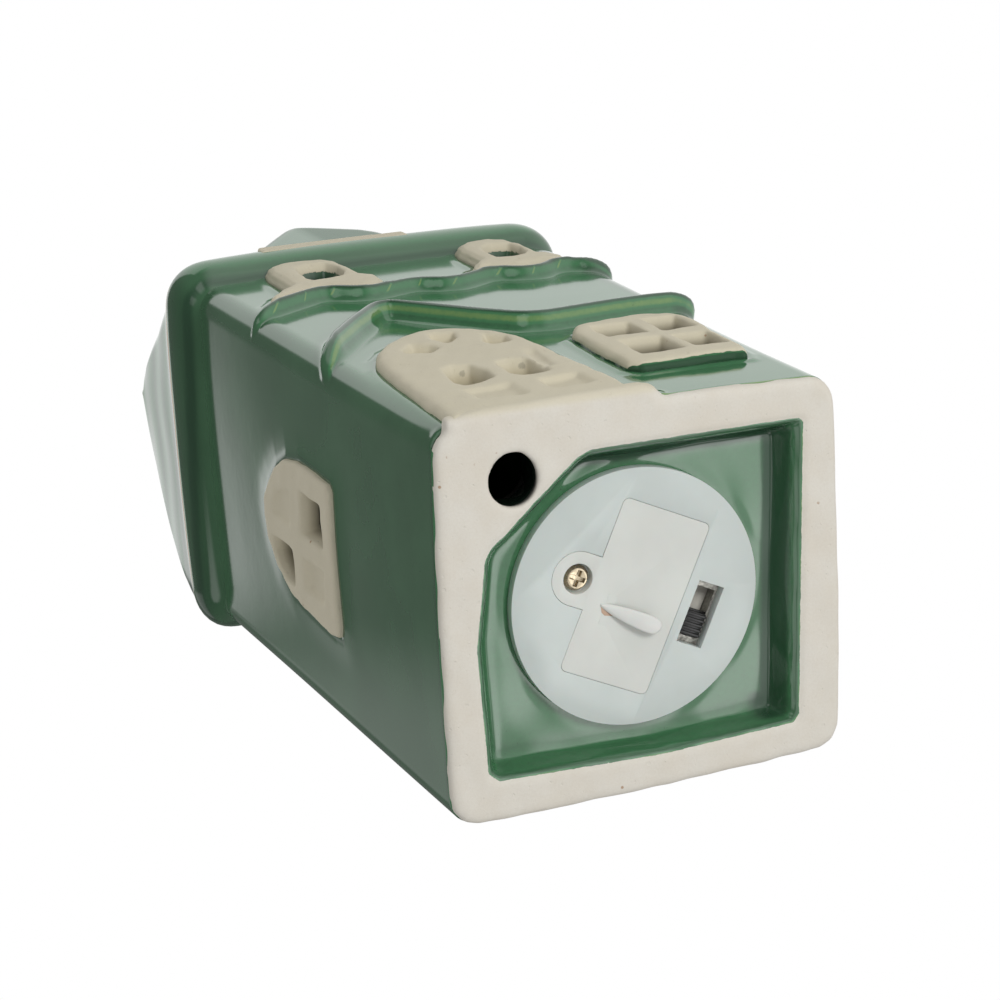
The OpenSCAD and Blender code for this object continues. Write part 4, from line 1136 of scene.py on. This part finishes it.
def eased(node, material, slot, width, segments):
    """The frame's own piece with its doubles merged and its edges eased, as a moulding's are."""
    bm = bmesh.new()
    bm.from_mesh(frame["nodes"][node].data)
    bmesh.ops.remove_doubles(bm, verts=bm.verts, dist=1e-6)
    bmesh.ops.dissolve_limit(bm, angle_limit=radians(0.6), verts=bm.verts, edges=bm.edges)
    piece = as_object("soft_" + node, bm)
    piece.data.transform(Matrix.Scale(1 / MM, 4))
    change = piece.modifiers.new("eased", "BEVEL")
    change.width = width
    change.segments = segments
    change.limit_method = "ANGLE"
    change.angle_limit = radians(30)
    baked(piece)
    finished(piece, material, body_of(node), node, 40)
    return piece


def unit_place():
    return Matrix.Translation((SEAT[0], SEAT[1], UNIT_Z)) @ Matrix.Rotation(radians(UNIT_TURN), 4, "Z")


# Places on the cover, in the light unit's own directions from the middle of its disc
SLIT = (-3.4, 3.0)
SCREW = (-9.6, 0.0)


def cover_seam(cover):
    """Draws the cover's edge out to a hairline seam and closes the slit under the film."""
    to_unit = unit_place().inverted()
    x, y, _ = np.array([to_unit @ (v.co / MM) for v in cover.data.vertices]).T
    near_slit = (np.abs(x - SLIT[0]) < 1.0) & (np.abs(y - SLIT[1]) < 2.4)
    near_screw = np.hypot(x - SCREW[0], y - SCREW[1]) < 2.6
    grow = np.where(near_slit | near_screw, 0.0, 0.09 * MM)
    away = normals_of(cover.data)
    away[:, 2] = 0
    away /= np.maximum(np.linalg.norm(away, axis=1), 0.3)[:, None]
    place_verts(cover.data, verts_of(cover.data) + away * grow[:, None])
    plug = block("cover_fill", (SLIT[0] - 0.7, SLIT[1] - 2.25, -0.02), (SLIT[0] + 0.7, SLIT[1] + 2.25, 1.0))
    plug.data.transform(unit_place())
    finished(plug, cover_plastic, "battery_door", "battery_cover", 20)


# The film's half width at shares of its length
LEAF_LENGTH = 9.7
LEAF_SHARES = [0, 0.1, 0.25, 0.45, 0.72, 0.88, 0.96, 1.0]
LEAF_HALF = [0.12, 0.48, 0.82, 1.1, 1.3, 1.25, 0.98, 0.3]
FILM_T = 0.22
# A rust-coloured corner beside the film's root: painted shade where the film leaves its slit
ROOT = [(-4.6, 2.84), (-3.66, 2.84), (-2.0, 3.47), (-3.62, 3.85), (-4.19, 3.58)]


def pull_tab():
    """A strip of film that comes out of its slit and stands off the cover as a leaf."""
    bm = bmesh.new()
    bmesh.ops.create_grid(bm, x_segments=28, y_segments=8, size=0.5)
    leaf = as_object("pull_tab_film", bm)
    co = verts_of(leaf.data)
    t = co[:, 0] + 0.5
    w = co[:, 1] * 2
    lift = -(0.12 + 1.5 * np.sin(np.clip(t, 0, 1) * pi * 0.62) ** 1.2)
    curl = 0.34 * (w * w) * (0.3 + 0.7 * (1 - t))
    half = np.interp(t, LEAF_SHARES, LEAF_HALF)
    place_verts(leaf.data, np.column_stack([-0.1 + LEAF_LENGTH * t, w * half, lift + curl]))
    change = leaf.modifiers.new("film", "SOLIDIFY")
    change.thickness = FILM_T
    change.offset = 0
    soft = leaf.modifiers.new("soft", "SUBSURF")
    soft.levels = soft.render_levels = 1
    baked(leaf)
    turn = Matrix.Translation((-4.7, 2.55, 0)) @ Matrix.Rotation(radians(3), 4, "Z")
    leaf.data.transform(unit_place() @ turn)
    finished(leaf, film_plastic, "battery_door", "pull_tab", 60)
    # The rust-coloured corner is painted shade beside the root
    corner = prism("pull_tab_root", ROOT, -0.05, 0.3)
    corner.data.transform(unit_place())
    finished(corner, root_shade_film, "battery_door", "pull_tab", 20)


# Each piece with its material, its slot, the width of its eased edges and their steps
PIECES = [
    ("light_base", milk_plastic, "white_plastic", 0.14, 2),
    ("light_cap", cap_plastic, "white_plastic", 0.3, 3),
    ("battery_cover", cover_plastic, "white_plastic", 0.12, 2),
    ("cover_screw", screw_nickel, "nickel", 0.12, 3),
    ("cell_front", cell_steel, "cell_steel", 0.3, 3),
    ("cell_back", cell_steel, "cell_steel", 0.3, 3),
    ("contact_bridge", nickel, "nickel", 0.06, 2),
    ("contact_positive", nickel, "nickel", 0.05, 2),
    ("contact_negative", nickel, "nickel", 0.05, 2),
    ("circuit_board", board_green, "board_green", 0.05, 2),
    ("board_screws", nickel, "nickel", 0.08, 2),
    ("resistor", resistor_tan, "resistor_tan", 0.1, 2),
    ("led", lens_cream, "led_lens", 0.1, 2),
    ("led_legs", nickel, "nickel", 0.04, 2),
    ("switch_case", dull_nickel, "nickel", 0.06, 2),
    ("switch_base", switch_brown, "switch_board", 0.05, 2),
    ("switch_pins", nickel, "nickel", 0.03, 2),
    ("switch_wiper", spring_brass, "spring_brass", 0.03, 2),
    ("switch_slider", black_plastic, "black_plastic", 0.08, 2),
]
for row in PIECES:
    piece = eased(*row)
    if piece.name == "soft_battery_cover":
        cover_seam(piece)
pull_tab()


# Stage


def pale_floor():
    """A floor that only the camera sees, and only from above, with the object's shadow on it."""
    bm = bmesh.new()
    bmesh.ops.create_grid(bm, x_segments=1, y_segments=1, size=3)
    bmesh.ops.translate(bm, vec=(0, 0, -0.0004), verts=bm.verts)
    floor = as_object("floor", bm)
    material, tree, out, place = new_material("pale_floor")
    tone = blend(tree, noise(tree, place, 60, 2, 0.5), rgba(0.86, 0.86, 0.86), rgba(0.84, 0.84, 0.84))
    pale = add(tree, "ShaderNodeBsdfDiffuse", {"Color": tone})
    lit = add(tree, "ShaderNodeEmission", {"Color": rgba(1, 1, 1), "Strength": 0.34})
    lifted = add(tree, "ShaderNodeAddShader", {0: pale.outputs[0], 1: lit.outputs[0]})
    clear = add(tree, "ShaderNodeBsdfTransparent")
    path = add(tree, "ShaderNodeLightPath")
    back = add(tree, "ShaderNodeNewGeometry").outputs["Backfacing"]
    seen = times(tree, path.outputs["Is Camera Ray"], maths(tree, "SUBTRACT", 1.0, back))
    mixed = add(tree, "ShaderNodeMixShader", {0: seen, 1: clear.outputs[0], 2: lifted.outputs[0]})
    tree.links.new(mixed.outputs[0], out.inputs[0])
    floor.data.materials.append(material)


def mirrored(tree):
    """What the glaze mirrors: a sweep ahead, soft boxes beside and behind, a wide one under the foot."""
    way = add(tree, "ShaderNodeTexCoord").outputs["Generated"]
    parts = add(tree, "ShaderNodeSeparateXYZ", {0: way})
    east, north, high = parts.outputs["X"], parts.outputs["Y"], parts.outputs["Z"]
    sweep = times(tree, ramp(tree, north, 0.36, 0.26), ramp(tree, east, -0.18, 0.24))
    sweep = plus(tree, times(tree, sweep, 0.97), 0.14)
    beside = times(tree, ramp(tree, east, -0.312, -0.255, 0.0, 1.15), ramp(tree, north, 0.345, 0.295))
    behind = times(tree, ramp(tree, north, 0.29, 0.36, 0.0, 0.45), ramp(tree, east, -0.16, -0.27))
    upper = times(tree, ramp(tree, high, 0.4, 0.6), larger(tree, beside, behind))
    below = times(tree, ramp(tree, high, -0.45, -0.75), ramp(tree, east, 0.29, 0.41, 1.3, 3.4))
    below = times(tree, below, ramp(tree, north, 0.2, 0.36, 0.78, 1.12))
    # Just under the horizon lie low soft boxes, an eighth of a turn apart
    level = times(tree, ramp(tree, high, -0.02, -0.14), ramp(tree, high, -0.50, -0.38))
    turn = maths(tree, "PINGPONG", maths(tree, "ARCTAN2", north, east), pi / 8)
    boxes = times(tree, level, ramp(tree, turn, pi / 16 - 0.07, pi / 16 + 0.07, 0.3, 1.3))
    return larger(tree, larger(tree, sweep, upper), larger(tree, below, boxes))


def studio_world():
    """White to the camera, soft light on the object, and the mirrored studio in its gloss."""
    world = bpy.data.worlds.new("studio")
    bpy.context.scene.world = world
    world.use_nodes = True
    tree = world.node_tree
    tree.nodes.clear()
    out = add(tree, "ShaderNodeOutputWorld")
    path = add(tree, "ShaderNodeLightPath")
    shown = larger(tree, path.outputs["Is Camera Ray"], path.outputs["Is Transmission Ray"])
    glossy = times(tree, path.outputs["Is Glossy Ray"], mirrored(tree))
    soft = times(tree, maths(tree, "SUBTRACT", 1.0, path.outputs["Is Glossy Ray"]), 0.52)
    strength = larger(tree, plus(tree, glossy, soft), shown)
    light = add(tree, "ShaderNodeBackground", {"Color": rgba(1, 1, 1), "Strength": strength})
    tree.links.new(light.outputs[0], out.inputs[0])


def lamp(name, place, aim, size, power):
    data = bpy.data.lights.new(name, "AREA")
    data.shape = "DISK"
    data.size = size
    data.energy = power
    obj = linked(name, data)
    obj.location = place
    obj.rotation_euler = (Vector(aim) - Vector(place)).to_track_quat("-Z", "Y").to_euler()
    obj.visible_glossy = False


# The photograph's camera: its focal length in pixels of a frame of this width, its turn as an axis
# times an angle, and where the house's origin lies from it
FRAME_PX = 1000
FOCAL_PX = 3129.73
SENSOR = 36
CAMERA_TURN = Vector((0.2661045, -0.3726826, -0.0978911))
ORIGIN_FROM_CAMERA = Vector((20.59109, 13.44015, 440.8615))


def camera():
    data = bpy.data.cameras.new("camera")
    data.sensor_width = SENSOR
    data.lens = FOCAL_PX / FRAME_PX * SENSOR
    data.clip_start = 0.01
    obj = linked("camera", data)
    back = Matrix.Rotation(CAMERA_TURN.length, 3, CAMERA_TURN).transposed()
    obj.location = -(back @ ORIGIN_FROM_CAMERA) * MM
    obj.rotation_euler = (back @ Matrix.Diagonal((1, -1, -1))).to_euler()
    bpy.context.scene.camera = obj


pale_floor()
studio_world()
lamp("key", (0.16, -0.40, -0.67), (0, 0, 0.03), 0.30, 3.0)
lamp("above", (0, 0, 0.95), (0, 0, 0), 0.6, 4.5)
camera()
view = bpy.context.scene.view_settings
view.view_transform = "Standard"
